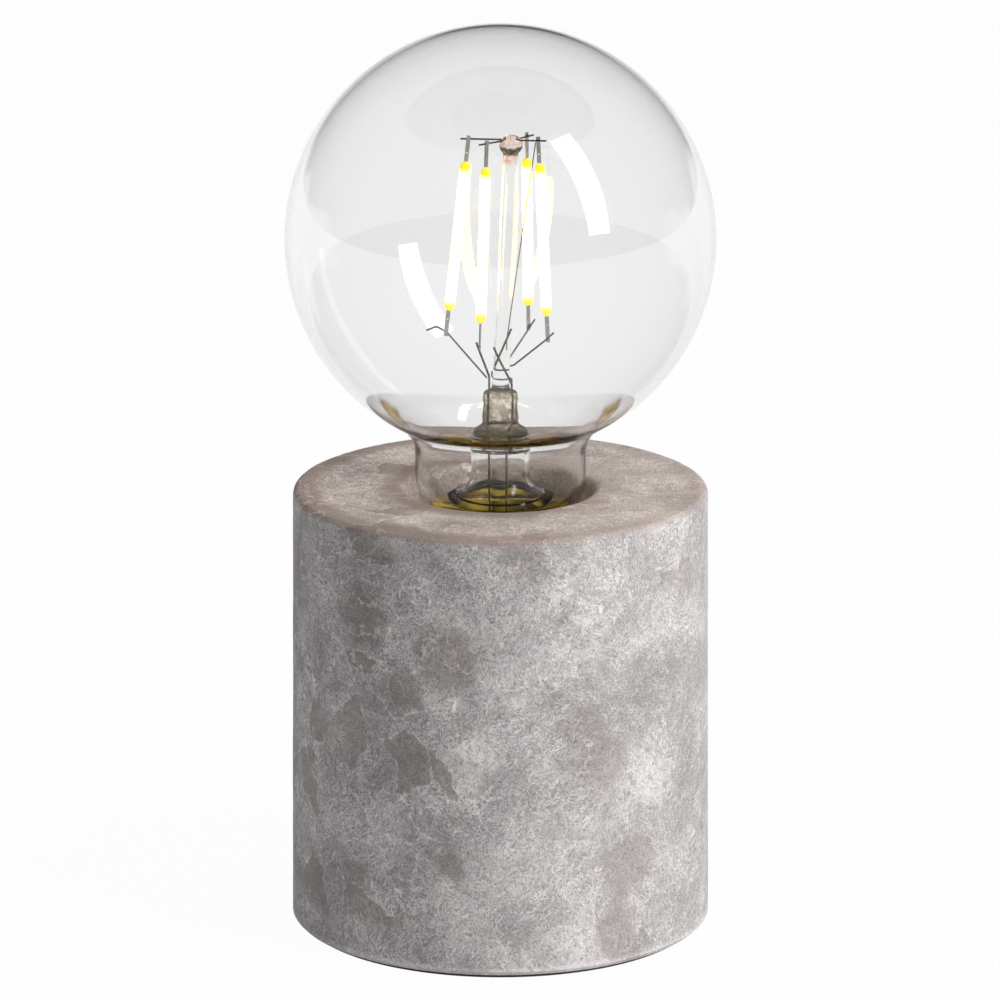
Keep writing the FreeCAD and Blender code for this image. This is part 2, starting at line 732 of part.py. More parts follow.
def cap_cement():
    """Ring of cement that holds the glass in the cap's skirt."""
    top = cap_rim - CAP_RIM_LENGTH
    outer = skirt_radius - CAP_WALL - GLUE_GAP
    return tube(outer, TAIL_RADIUS + GLUE_GAP, top - CEMENT_LENGTH + CAP_RIM_LENGTH, top)


# ---------------------------------------------------------------- glass pieces
def neck_points():
    """Corners and arc centres where the globe runs into its neck and tail."""
    slope = math.radians(NECK_FLARE_DEGREES)
    along = at(math.sin(slope), math.cos(slope))
    outward = at(math.cos(slope), -math.sin(slope))
    foot = at(NECK_FOOT_RADIUS, neck_foot)
    centre = at(0, globe_centre)
    reach = foot + outward * NECK_FILLET - centre
    half = reach.dot(along)
    rest = reach.dot(reach) - (GLOBE_RADIUS + NECK_FILLET) ** 2
    distance = -half - math.sqrt(half ** 2 - rest)
    fillet_centre = foot + along * distance + outward * NECK_FILLET
    round_radius = neck_shoulder_round
    rise = round_radius * (1 - math.sin(slope)) / math.cos(slope)
    shoulder_centre = foot + along * rise - outward * round_radius
    return along, outward, centre, fillet_centre, shoulder_centre


def glass_globe():
    """Blown envelope: globe, flared neck and the tail that is cemented in the cap."""
    along, outward, centre, fillet_centre, shoulder_centre = neck_points()

    def skin(inset):
        """One skin's edges, from the tail's foot up to the top of the globe."""
        radius = GLOBE_RADIUS - inset
        fillet = NECK_FILLET + inset
        shoulder = neck_shoulder_round - inset
        tail = TAIL_RADIUS - inset
        on_globe = centre + (fillet_centre - centre).normalize() * radius
        on_neck = fillet_centre - outward * fillet
        neck_end = shoulder_centre + outward * shoulder
        shoulder_end = shoulder_centre - AXIS * shoulder
        tail_top = at(tail, shoulder_end.z)
        widest = at(radius, globe_centre)
        top = at(0, globe_centre + radius)
        return [
            line(at(tail, tail_foot), tail_top),
            line(tail_top, shoulder_end),
            arc(shoulder_end, shoulder_centre, neck_end),
            line(neck_end, on_neck),
            arc(on_neck, fillet_centre, on_globe),
            arc(on_globe, centre, widest),
            arc(widest, centre, top),
        ]

    outer = skin(0)
    inner = skin(GLASS_WALL)
    closing = [
        line(at(TAIL_RADIUS, tail_foot), at(tail_bore, tail_foot)),
        line(at(0, globe_centre + GLOBE_RADIUS), at(0, globe_centre + GLOBE_RADIUS - GLASS_WALL)),
    ]
    return turned(Part.Wire(Part.sortEdges(outer + inner + closing)[0]))


def stem_tube():
    """Flared tube fused into the tail, closed above by the flat pinch."""
    rim = tail_foot
    flare_foot = rim - STEM_FLARE_THICKNESS
    wall = STEM_TUBE_WALL
    outer = STEM_TUBE_RADIUS
    inner = outer - wall
    flare_reach = tail_bore - GLUE_GAP
    flare_bore = flare_reach - STEM_FLARE_THICKNESS
    sweep = flare_reach - outer
    flare_top = rim + STEM_FLARE_HEIGHT
    centre = at(flare_reach, flare_top)
    inner_drop = math.sqrt((sweep + wall) ** 2 - STEM_FLARE_THICKNESS ** 2)
    flare_end = centre - AXIS * sweep
    inner_end = at(flare_bore, flare_top - inner_drop)
    roof = pinch_foot - wall
    outer_corners = [
        flare_end,
        at(flare_reach, rim),
        at(TAIL_RADIUS, rim),
        at(TAIL_RADIUS, flare_foot),
        at(flare_bore, flare_foot),
        inner_end,
    ]
    upper_corners = [
        at(inner, flare_top),
        at(inner, roof),
        at(0, roof),
        at(0, pinch_foot),
        at(outer, pinch_foot),
        at(outer, flare_top),
    ]
    profile = [line(start, end) for start, end in zip(outer_corners, outer_corners[1:])]
    profile.append(arc(inner_end, centre, at(inner, flare_top)))
    profile += [line(start, end) for start, end in zip(upper_corners, upper_corners[1:])]
    profile.append(arc(at(outer, flare_top), centre, flare_end))
    tube_body = turned(profile)
    shoulder_top = pinch_foot + PINCH_SHOULDER_HEIGHT
    shoulder = Part.makeLoft(
        [oval(outer, outer, pinch_foot), oval(PINCH_WIDTH / 2, PINCH_DEPTH / 2, shoulder_top)],
        True,
        True,
    )
    pinch = Part.Face(oval(PINCH_WIDTH / 2, PINCH_DEPTH / 2, shoulder_top))
    pinch = forward(pinch.extrude(AXIS * PINCH_HEIGHT))
    pinch = rounded(pinch, PINCH_ROUND, lambda edge: edge.BoundBox.ZMin > pinch_top - SAME_PLACE)
    return tube_body.fuse([forward(shoulder), pinch])


def oval(half_width, half_depth, height):
    """A flat ellipse across the axis, wide along X."""
    if half_width == half_depth:
        return Part.Wire(Part.makeCircle(half_width, Vector(0, 0, height)))
    ellipse = Part.Ellipse(Vector(0, 0, height), half_width, half_depth)
    return Part.Wire(ellipse.toShape())


def exhaust_tube():
    """Pumping tube inside the stem, sealed off at its lower tip."""
    top = pinch_foot - STEM_TUBE_WALL
    foot = tail_foot + EXHAUST_TAIL
    outer = EXHAUST_RADIUS
    inner = outer - EXHAUST_WALL
    tip = foot - outer
    return turned([
        line(at(outer, top), at(outer, foot)),
        arc(at(outer, foot), at(0, foot), at(0, tip)),
        line(at(0, tip), at(0, tip + EXHAUST_WALL)),
        arc(at(0, tip + EXHAUST_WALL), at(0, foot), at(inner, foot)),
        line(at(inner, foot), at(inner, top)),
        line(at(inner, top), at(outer, top)),
    ])


def rod_direction():
    lean = math.radians(ROD_LEAN_DEGREES)
    return Vector(math.sin(lean), 0, math.cos(lean))


def button_centre():
    return Vector(0, 0, pinch_top) + rod_direction() * ROD_LENGTH


def stem_rod():
    """Slender glass rod with a round button that holds the four arms."""
    foot = Vector(0, 0, pinch_top)
    rod = Part.makeCylinder(ROD_RADIUS, ROD_LENGTH, foot, rod_direction())
    above_pinch = Part.makeBox(
        4 * ROD_RADIUS, 4 * ROD_RADIUS, ROD_LENGTH * 2, foot - Vector(1, 1, 0) * 2 * ROD_RADIUS
    )
    button = Part.makeSphere(BUTTON_RADIUS, button_centre())
    return rod.common(above_pinch).fuse(button)


# ---------------------------------------------------------------- light filaments
def filament_place(top_x, top_y, splay_x, splay_y):
    """Top end, foot and upward direction of one filament's coated part."""
    button = button_centre()
    top_height = button.z + ARM_RISE - TAB_LENGTH + TAB_TIP
    top = Vector(button.x + top_x, button.y + top_y, top_height)
    drop = math.sqrt(FILAMENT_LENGTH ** 2 - splay_x ** 2 - splay_y ** 2)
    foot = top + Vector(splay_x, splay_y, -drop)
    return {"top": top, "foot": foot, "upward": (top - foot).normalize()}


def filament_places():
    """The four filaments by the side on which they stand."""
    return {
        "left": filament_place(LEFT_TOP_X, LEFT_TOP_Y, LEFT_SPLAY_X, LEFT_SPLAY_Y),
        "front": filament_place(FRONT_TOP_X, FRONT_TOP_Y, FRONT_SPLAY_X, FRONT_SPLAY_Y),
        "rear": filament_place(REAR_TOP_X, REAR_TOP_Y, REAR_SPLAY_X, REAR_SPLAY_Y),
        "right": filament_place(RIGHT_TOP_X, RIGHT_TOP_Y, RIGHT_SPLAY_X, RIGHT_SPLAY_Y),
    }


def filament(place):
    """Coated light strip of one filament, a slim rod with rounded ends."""
    rod = Part.makeCylinder(FILAMENT_RADIUS, FILAMENT_LENGTH, place["foot"], place["upward"])
    return rounded(rod, FILAMENT_END_ROUND, lambda edge: isinstance(edge.Curve, Part.Circle))


def level_direction(start, end):
    """Direction from one point to another, seen from above."""
    return Vector(end.x - start.x, end.y - start.y, 0).normalize()


def weld_on_tab(place, wire_start, at_top):
    """Where a wire from wire_start crosses a filament's tab, and its level direction."""
    along = place["upward"] if at_top else place["upward"] * -1
    end = place["top"] if at_top else place["foot"]
    crossing = end + along * (TAB_LENGTH - TAB_TIP)
    outward = level_direction(wire_start, crossing)
    beside = outward.cross(AXIS) * (TAB_THICKNESS / 2 + WIRE_RADIUS + WELD_GAP)
    return crossing + beside, outward


def filament_tab(place, wire_start, at_top):
    """Thin steel tab at one end of a filament, on edge beside the wire welded to it."""
    along = place["upward"] if at_top else place["upward"] * -1
    end = place["top"] if at_top else place["foot"]
    outward = weld_on_tab(place, wire_start, at_top)[1]
    tab = block(Vector(0, 0, TAB_LENGTH / 2), Vector(TAB_WIDTH, TAB_THICKNESS, TAB_LENGTH))
    hole_foot = Vector(0, -TAB_THICKNESS, TAB_HOLE_DISTANCE)
    hole = Part.makeCylinder(TAB_HOLE_RADIUS, 2 * TAB_THICKNESS, hole_foot, BACKWARDS)
    tab = tab.cut(hole)
    turn = FreeCAD.Rotation(outward, along.cross(outward), along, "ZXY")
    tab.Placement = FreeCAD.Placement(end, turn)
    return tab


def filament_tabs(place, lower_wire_start):
    """The tabs at both ends of one filament."""
    return Part.makeCompound([
        filament_tab(place, button_centre(), True),
        filament_tab(place, lower_wire_start, False),
    ])


# ---------------------------------------------------------------- wires in the globe
def arm_line(place):
    """Both ends of the arm that holds one filament."""
    button = button_centre()
    weld, outward = weld_on_tab(place, button, True)
    side = Vector(weld.x - button.x, weld.y - button.y, 0)
    side = side - outward * side.dot(outward)
    start = Vector(button.x, button.y, weld.z) + side + outward * ARM_ROOT
    return start, weld + outward * ARM_OVERHANG


def arm_wires(places):
    """Four wires that stand out of the button, one beside the top tab of each filament."""
    return Part.makeCompound([
        wire_along(list(arm_line(place)), WIRE_RADIUS) for place in places.values()
    ])


def left_lead_start():
    return Vector(-LEAD_SPACING / 2, 0, board_foot() + BOARD_HEIGHT)


def left_lead_bend():
    return Vector(-LEAD_SPACING / 2, 0, pinch_top + LEAD_BEND_HEIGHT)


def lead_wire_left(places):
    """Lead from the driver board, through the pinch, to the foot of the front filament."""
    weld, outward = weld_on_tab(places["front"], left_lead_bend(), False)
    lead_side = outward.cross(AXIS) * (LEAD_RADIUS - WIRE_RADIUS)
    return wire_along(
        [left_lead_start(), left_lead_bend(), weld + lead_side,
         weld + lead_side + outward * STUB_LENGTH + AXIS * STUB_LENGTH],
        LEAD_RADIUS,
    )


def left_link_start():
    """Weld of the left link, on the outer side of the left lead."""
    beside = LEAD_SPACING / 2 + LEAD_RADIUS + WIRE_RADIUS + WELD_GAP
    return Vector(-beside, 0, pinch_top + LEAD_BEND_HEIGHT - 2 * WIRE_RADIUS)


def link_wire_left(places):
    """Wire from the left lead to the foot of the left filament, with a kinked free end."""
    weld, outward = weld_on_tab(places["left"], left_link_start(), False)
    kink = weld + outward * LEFT_STUB_LENGTH / 2 + AXIS * LEFT_STUB_KINK
    tip = weld + outward * LEFT_STUB_LENGTH
    return wire_along([left_link_start(), weld, kink, tip], WIRE_RADIUS)


def crossing():
    """Where the right lead's free end meets the cross wire, in front of the rod."""
    return Vector(CROSSING_X, -CROSSING_IN_FRONT, pinch_top + CROSSING_HEIGHT)


def lead_wire_right():
    """Lead from the driver board, through the pinch, up to the crossing."""
    below_x = LEAD_SPACING / 2 - LEAD_OFFSET_BELOW
    board_top = board_foot() + BOARD_HEIGHT
    above_pinch = Vector(LEAD_SPACING / 2, 0, pinch_top + WIRE_BEND)
    beside_rod = Vector(BESIDE_ROD_X, BESIDE_ROD_Y, pinch_top + LEAD_BEND_HEIGHT)
    return wire_along(
        [
            Vector(below_x, 0, board_top),
            Vector(below_x, 0, board_top + WIRE_BEND),
            Vector(below_x, -LEAD_IN_FRONT, board_top + 2 * WIRE_BEND + LEAD_IN_FRONT),
            Vector(below_x, -LEAD_IN_FRONT, pinch_foot - 2 * STEM_TUBE_WALL),
            Vector(LEAD_SPACING / 2, 0, pinch_foot + PINCH_SHOULDER_HEIGHT),
            above_pinch,
            beside_rod,
            crossing(),
            crossing() + Vector(-STUB_LENGTH, 0, STUB_RISE),
        ],
        LEAD_RADIUS,
        LOOP_BEND,
    )


def on_cross_wire(rise):
    """A point of the cross wire's middle line, by its height over the crossing."""
    in_front = Vector(0, -(2 * LEAD_RADIUS + WELD_GAP), 0)
    return crossing() + in_front + Vector(CROSS_WIRE_SLOPE * rise, 0, rise)


def cross_wire():
    """Short wire welded across the right lead's end. It carries the jumper."""
    return wire_along(
        [on_cross_wire(-CROSS_WIRE_DROP), on_cross_wire(CROSS_WIRE_RISE)], LEAD_RADIUS
    )


def jumper_wire(places):
    """Thin wire from the cross wire up to the right arm."""
    arm_start, arm_end = arm_line(places["right"])
    on_arm = arm_start + (arm_end - arm_start) * JUMPER_ARM_SHARE
    top = on_arm - AXIS * (WIRE_RADIUS + JUMPER_RADIUS + WELD_GAP)
    in_front = LEAD_RADIUS + JUMPER_RADIUS + WELD_GAP
    weld = on_cross_wire(JUMPER_WELD_RISE) - Vector(0, in_front, 0)
    return wire_along([top, weld, weld - AXIS * JUMPER_TAIL], JUMPER_RADIUS)


def loop_corners():
    """The right link's start on the lead, its loop behind the rod and its way out."""
    behind = ROD_RADIUS + 2 * WIRE_RADIUS
    low = pinch_top + LOOP_HEIGHT
    beside = LEAD_RADIUS + WIRE_RADIUS + WELD_GAP
    return [
        Vector(LEAD_SPACING / 2, beside, pinch_top + WIRE_BEND),
        Vector(LEAD_SPACING / 2, behind, low),
        Vector(-LOOP_WIDTH, behind, low),
        Vector(-LOOP_WIDTH, behind, low + LOOP_PITCH),
        Vector(LOOP_END_X, behind, low + 2 * LOOP_PITCH),
    ]


def link_wire_right(places):
    """Wire from the right lead, looped behind the rod, to the foot of the right filament."""
    corners = loop_corners()
    weld, outward = weld_on_tab(places["right"], corners[-1], False)
    tip = weld + (outward + AXIS) * LINK_STUB_LENGTH
    return wire_along(corners + [weld, tip], WIRE_RADIUS, LOOP_BEND)


def rear_link_start():
    """Weld of the rear link, behind the right link's way out of its loop."""
    before, after = loop_corners()[-2:]
    middle = (before + after) * 0.5
    return middle + Vector(0, 2 * WIRE_RADIUS + WELD_GAP, 0)


def link_wire_rear(places):
    """Wire from behind the rod to the foot of the rear filament."""
    weld, outward = weld_on_tab(places["rear"], rear_link_start(), False)
    tip = weld + (outward + AXIS) * LINK_STUB_LENGTH
    return wire_along([rear_link_start(), weld, tip], WIRE_RADIUS)


# ---------------------------------------------------------------- driver pieces
def board_foot():
    return cap_floor + BLACK_GLASS_TOP


def driver_board():
    centre = Vector(0, 0, board_foot() + BOARD_HEIGHT / 2)
    return block(centre, Vector(BOARD_WIDTH, BOARD_THICKNESS, BOARD_HEIGHT))


def driver_capacitor():
    """Round capacitor lying along the back of the board."""
    centre_y = BOARD_THICKNESS / 2 + CAPACITOR_RADIUS
    height = board_foot() + BOARD_HEIGHT / 2
    start = Vector(-CAPACITOR_LENGTH / 2, centre_y, height)
    return Part.makeCylinder(CAPACITOR_RADIUS, CAPACITOR_LENGTH, start, Vector(1, 0, 0))


def on_board_front(x, size):
    """Centre of a flat part on the front of the board."""
    return Vector(x, -BOARD_THICKNESS / 2 - size.y / 2, board_foot() + BOARD_HEIGHT / 2)


def driver_rectifier():
    x = -(PART_SPACING + RECTIFIER_SIZE.x) / 2
    return block(on_board_front(x, RECTIFIER_SIZE), RECTIFIER_SIZE)


def driver_chip():
    x = (PART_SPACING + CHIP_SIZE.x) / 2
    return block(on_board_front(x, CHIP_SIZE), CHIP_SIZE)


# ---------------------------------------------------------------- build
def without(solid, *others):
    """The solid with room cut out for pieces that are embedded in it."""
    for other in others:
        solid = solid.cut(other)
    return solid


def build():
    """Every piece of the lamp by its node name."""
    places = filament_places()
    pieces = {
        "concrete_body": concrete_body(),
        "base_pad": base_pad(),
        "cable_grommet": cable_grommet(),
        "threaded_nipple": threaded_nipple(),
        "nipple_washer": nipple_washer(),
        "nipple_nut": nipple_nut(),
        "holder_dome": holder_dome(),
        "dome_grub_screw": dome_grub_screw(),
        "holder_shell": holder_shell(),
        "porcelain_insert": porcelain_insert(),
        "screw_socket": screw_socket(),
        "contact_tongue": contact_tongue(),
        "contact_screws": contact_screws(),
        "terminal_blocks": terminal_blocks(),
        "terminal_screws": terminal_screws(),
        "cap_contact": cap_contact(),
        "black_glass": black_glass(),
        "cap_shell": cap_shell(),
        "cap_cement": cap_cement(),
        "glass_globe": glass_globe(),
        "exhaust_tube": exhaust_tube(),
        "driver_board": driver_board(),
        "driver_capacitor": driver_capacitor(),
        "driver_rectifier": driver_rectifier(),
        "driver_chip": driver_chip(),
        "arm_wires": arm_wires(places),
        "lead_wire_left": lead_wire_left(places),
        "lead_wire_right": lead_wire_right(),
        "link_wire_left": link_wire_left(places),
        "link_wire_right": link_wire_right(places),
        "link_wire_rear": link_wire_rear(places),
        "cross_wire": cross_wire(),
        "jumper_wire": jumper_wire(places),
    }
    lower_wire_starts = {
        "left": left_link_start(),
        "front": left_lead_bend(),
        "rear": rear_link_start(),
        "right": loop_corners()[-1],
    }
    for side, place in places.items():
        pieces["filament_" + side] = filament(place)
        pieces["filament_tabs_" + side] = filament_tabs(place, lower_wire_starts[side])
    pieces["stem_rod"] = without(stem_rod(), pieces["arm_wires"])
    pieces["stem_tube"] = without(
        stem_tube(), pieces["lead_wire_left"], pieces["lead_wire_right"]
    )
    return pieces


os.makedirs("parts", exist_ok=True)
for node, shape in build().items():
    if not shape.isValid() or not shape.Solids:
        raise ValueError(node + " is not a sound solid")
    shape.exportStep("parts/" + node + ".step")
    box = shape.BoundBox
    print(f"{node}: {len(shape.Solids)} solid(s), {shape.Volume:.1f} mm3, "
          f"z {box.ZMin:.2f} to {box.ZMax:.2f}")
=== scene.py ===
# %% [markdown]
# # A bare bulb table lamp, dressed for its portrait
#
# The lamp is a cast concrete cylinder with a lampholder sunk in a hole in its top, and a
# clear globe bulb with four upright light filaments. The solids come from the packed
# frame and stay where they are. This script gives each of them its finish, and builds a
# finer piece wherever a plain solid can't show what the real one has.

# %% Open the frame
import json
import math

import bmesh
import bpy
from mathutils import Matrix, Vector, noise


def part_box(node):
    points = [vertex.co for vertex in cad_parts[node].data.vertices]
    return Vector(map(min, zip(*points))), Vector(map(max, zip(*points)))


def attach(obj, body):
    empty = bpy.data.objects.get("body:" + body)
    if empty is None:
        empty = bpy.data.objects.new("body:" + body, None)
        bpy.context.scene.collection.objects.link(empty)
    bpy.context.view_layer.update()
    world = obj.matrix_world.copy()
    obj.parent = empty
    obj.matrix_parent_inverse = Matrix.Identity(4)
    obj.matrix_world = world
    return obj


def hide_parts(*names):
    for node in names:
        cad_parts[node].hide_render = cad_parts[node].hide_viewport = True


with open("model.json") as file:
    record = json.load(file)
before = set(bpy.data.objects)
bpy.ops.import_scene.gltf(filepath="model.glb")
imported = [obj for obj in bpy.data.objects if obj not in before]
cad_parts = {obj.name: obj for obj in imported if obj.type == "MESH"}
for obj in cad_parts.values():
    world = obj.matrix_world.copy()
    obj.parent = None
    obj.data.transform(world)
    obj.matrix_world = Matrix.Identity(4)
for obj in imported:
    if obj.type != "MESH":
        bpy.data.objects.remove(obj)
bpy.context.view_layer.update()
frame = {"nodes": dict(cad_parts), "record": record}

nodes = frame["nodes"]
print("solids in the frame:", len(nodes))

# %% [markdown]
# ## A small language for node trees
#
# Node trees get long when each link is written out. A class that wraps one socket and
# overloads + - * / lets a pattern read like a sum: `1 - mask * 0.5` adds its own Math
# nodes. Every other node comes from one method, `node`, which takes the node's type, its
# settings and what goes into its sockets. The same class serves materials and Geometry
# Nodes, because both know the Math node.


# %% One socket, with arithmetic
class Wire:
    """The output of a node, ready for arithmetic."""

    def __init__(self, tree, socket):
        self.tree = tree
        self.socket = socket

    def math(self, operation, first, second=0.0, third=0.0):
        made = self.tree.node("ShaderNodeMath", {"operation": operation},
                              {0: first, 1: second, 2: third})
        return made["Value"]

    def __add__(self, other):
        return self.math("ADD", self, other)

    def __radd__(self, other):
        return self.math("ADD", other, self)

    def __sub__(self, other):
        return self.math("SUBTRACT", self, other)

    def __rsub__(self, other):
        return self.math("SUBTRACT", other, self)

    def __mul__(self, other):
        return self.math("MULTIPLY", self, other)

    def __rmul__(self, other):
        return self.math("MULTIPLY", other, self)

    def __truediv__(self, other):
        return self.math("DIVIDE", self, other)

    def __rtruediv__(self, other):
        return self.math("DIVIDE", other, self)

    def __abs__(self):
        return self.math("ABSOLUTE", self)

    def power(self, exponent):
        return self.math("POWER", self, exponent)

    def at_most(self, limit):
        return self.math("MINIMUM", self, limit)

    def sine(self):
        return self.math("SINE", self)

    def cosine(self):
        return self.math("COSINE", self)


# %% One tree, with one way to make a node
class Tree:
    """A node tree whose nodes are all made by one method."""

    def __init__(self, tree):
        self.tree = tree

    def node(self, kind, settings=None, sockets=None):
        made = self.tree.nodes.new(kind)
        for name, value in (settings or {}).items():
            if name == "stops":
                self.set_stops(made.color_ramp, value)
            else:
                setattr(made, name, value)
        for key, value in (sockets or {}).items():
            target = self.find(made.inputs, key)
            if target is None or not target.enabled:
                continue
            if isinstance(value, Wire):
                self.tree.links.new(value.socket, target)
            else:
                target.default_value = value
        return {out.name: Wire(self, out) for out in made.outputs if out.enabled}

    @staticmethod
    def find(sockets, key):
        if isinstance(key, int):
            return sockets[key] if key < len(sockets) else None
        for socket in sockets:
            if socket.enabled and key in (socket.name, socket.identifier):
                return socket
        raise KeyError(key)

    @staticmethod
    def set_stops(ramp, stops):
        while len(ramp.elements) < len(stops):
            ramp.elements.new(1.0)
        for element, (place, colour) in zip(ramp.elements, stops):
            element.position = place
            element.color = colour if len(colour) == 4 else (*colour, 1.0)


# %% A finish is a material with shorthands for what it often needs
class Finish(Tree):
    """A material under construction."""

    def __init__(self, name):
        self.material = bpy.data.materials.new(name)
        self.material.use_nodes = True
        super().__init__(self.material.node_tree)
        self.tree.nodes.clear()
        self.place = self.node("ShaderNodeTexCoord")["Object"]

    def moved(self, scale=(1, 1, 1), turn=(0, 0, 0), shift=(0, 0, 0)):
        return self.node("ShaderNodeMapping", None, {
            "Vector": self.place, "Scale": scale, "Rotation": turn, "Location": shift,
        })["Vector"]

    def grain(self, scale, detail=2.0, roughness=0.5, distortion=0.0, place=None):
        """Soft noise from 0 to 1. Scale counts its lumps to the metre."""
        return self.node("ShaderNodeTexNoise", None, {
            "Vector": place or self.place, "Scale": scale, "Detail": detail,
            "Roughness": roughness, "Distortion": distortion,
        })["Fac"]

    def cells(self, scale, place=None, feature="F1"):
        return self.node("ShaderNodeTexVoronoi", {"feature": feature}, {
            "Vector": place or self.place, "Scale": scale,
        })["Distance"]

    def between(self, value, low, high, start=0.0, end=1.0):
        """Carries value smoothly from start at low to end at high."""
        return self.node("ShaderNodeMapRange", {"interpolation_type": "SMOOTHSTEP"}, {
            "Value": value, "From Min": low, "From Max": high,
            "To Min": start, "To Max": end,
        })["Result"]

    def line_at(self, value, level, width):
        """A thin line wherever value crosses a level, as on a map."""
        return self.between(abs(value - level), 0.0, width, 1.0, 0.0)

    def ramp(self, value, stops):
        return self.node("ShaderNodeValToRGB", {"stops": stops}, {"Fac": value})["Color"]

    def blend(self, factor, first, second, mode="MIX"):
        return self.node("ShaderNodeMix", {"data_type": "RGBA", "blend_type": mode}, {
            "Factor": factor, "A": colour(first), "B": colour(second),
        })["Result"]

    def bump(self, height, strength, distance):
        return self.node("ShaderNodeBump", None, {
            "Height": height, "Strength": strength, "Distance": distance,
        })["Normal"]

    def axes(self, place=None):
        return self.node("ShaderNodeSeparateXYZ", None, {"Vector": place or self.place})

    def principled(self, **sockets):
        return self.node("ShaderNodeBsdfPrincipled", None, {
            name.replace("_", " "): value for name, value in sockets.items()
        })["BSDF"]

    def show(self, surface):
        self.node("ShaderNodeOutputMaterial", None, {"Surface": surface})
        return self.material


def colour(value):
    """A colour or wire as a colour socket takes it."""
    return value if isinstance(value, Wire) else (*value[:3], 1.0)


# %% [markdown]
# ## The camera
#
# The photograph was taken from well away, a little above the lamp: the cylinder's top
# shows as a flat ellipse. A long lens at 1.8 m and 15.4 degrees up gives the same
# ellipses, and the lamp fills the frame as it does there.

# %% Camera
VIEW_HEIGHT = 0.09675
VIEW_DISTANCE = 1.8
VIEW_RAISED = math.radians(15.4)
PIXELS_PER_METRE = 4504.5
SENSOR = 36.0

camera = bpy.data.objects.new("camera", bpy.data.cameras.new("camera"))
bpy.context.scene.collection.objects.link(camera)
aim = Vector((-0.0001, 0.0, VIEW_HEIGHT))
away = Vector((0.0, -math.cos(VIEW_RAISED), math.sin(VIEW_RAISED)))
camera.location = aim + away * VIEW_DISTANCE
camera.rotation_euler = away.to_track_quat("Z", "Y").to_euler()
camera.data.sensor_width = SENSOR
camera.data.lens = PIXELS_PER_METRE * VIEW_DISTANCE * SENSOR / 1000
camera.data.clip_end = 20.0
bpy.context.scene.camera = camera
bpy.context.scene.view_settings.view_transform = "Standard"
print("lens, mm:", round(camera.data.lens, 1))

# %% [markdown]
# ## Light
#
# One tall softbox stands to the right, in front and above. The globe shows it twice:
# once as an upright strip at its upper right, off the front of the glass, and once turned
# over at its lower left, off the hollow back of the glass. It is made of two lamps in one
# place: a moderate one that the glass may mirror, and one for the light alone.

# %% Softbox and fill
GLOBE_CENTRE = Vector((0.0, 0.0, 0.1563))


def soft_lamp(name, direction, upwards, distance, width, height, radiance, mirrored):
    """A rectangular lamp of a given radiance that looks at the globe."""
    lamp = bpy.data.lights.new(name, "AREA")
    lamp.shape = "RECTANGLE"
    lamp.size = width
    lamp.size_y = height
    lamp.energy = radiance * math.pi * width * height
    made = bpy.data.objects.new(name, lamp)
    bpy.context.scene.collection.objects.link(made)
    facing = direction.normalized()
    side = upwards.cross(facing).normalized()
    turned_up = facing.cross(side)
    turn = Matrix((side, turned_up, facing)).transposed()
    made.matrix_world = Matrix.Translation(GLOBE_CENTRE + facing * distance) @ turn.to_4x4()
    made.visible_glossy = mirrored
    made.visible_transmission = mirrored
    made.visible_camera = False
    print(name, "watts:", round(lamp.energy, 2))
    return made


KEY_DIRECTION = Vector((0.690, -0.446, 0.570))
KEY_UPWARDS = Vector((-0.419, 0.396, 0.817))
soft_lamp("softbox", KEY_DIRECTION, KEY_UPWARDS, 1.2, 0.274, 1.10, 5.0, True)
soft_lamp("softbox light", KEY_DIRECTION, KEY_UPWARDS, 1.2, 0.35, 1.12, 9.6, False)
soft_lamp("left fill", Vector((-0.95, 0.25, 0.2)), Vector((0, 0, 1)), 1.2, 0.5, 1.2, 0.5, False)

# %% World and floor
WALL_DARKEST = 0.09
WALL_RISE = 0.56
ROOM_STRENGTH = 0.42
FLOOR_GLOW = 0.975

world = bpy.data.worlds.new("studio")
bpy.context.scene.world = world
world.use_nodes = True
studio = Tree(world.node_tree)
studio.tree.nodes.clear()
rays = studio.node("ShaderNodeLightPath")
toward = studio.node("ShaderNodeSeparateXYZ", None, {
    "Vector": studio.node("ShaderNodeTexCoord")["Generated"]})
behind = studio.node("ShaderNodeMapRange", {"interpolation_type": "SMOOTHSTEP"}, {
    "Value": toward["Y"] - abs(toward["X"]) * 0.2, "From Min": -0.15, "From Max": 0.25})["Result"]
uneven = studio.node("ShaderNodeTexNoise", None, {
    "Vector": studio.node("ShaderNodeTexCoord")["Generated"], "Scale": 2.4, "Detail": 1.0})["Fac"]
low = studio.node("ShaderNodeMapRange", {"interpolation_type": "SMOOTHSTEP"}, {
    "Value": toward["Z"] + (uneven - 0.5) * 0.5, "From Min": 0.0, "From Max": 0.08,
    "To Min": 1.0, "To Max": 0.0})["Result"]
level = WALL_DARKEST + low * behind * WALL_RISE
dim = studio.node("ShaderNodeBackground", None, {"Color": (0.97, 0.98, 1.0, 1), "Strength": ROOM_STRENGTH})
wall_grey = studio.node("ShaderNodeCombineColor", None, {"Red": level, "Green": level, "Blue": level})["Color"]
wall = studio.node("ShaderNodeBackground", None, {"Color": wall_grey, "Strength": 1.0})
white = studio.node("ShaderNodeBackground", None, {"Color": (1, 1, 1, 1), "Strength": 1.0})
mirrored = (rays["Is Glossy Ray"] + rays["Is Transmission Ray"]).at_most(1.0)
room = studio.node("ShaderNodeMixShader", None, {0: mirrored, 1: dim["Background"], 2: wall["Background"]})
sky = studio.node("ShaderNodeMixShader", None, {
    0: rays["Is Camera Ray"], 1: room["Shader"], 2: white["Background"],
})
studio.node("ShaderNodeOutputWorld", None, {"Surface": sky["Shader"]})

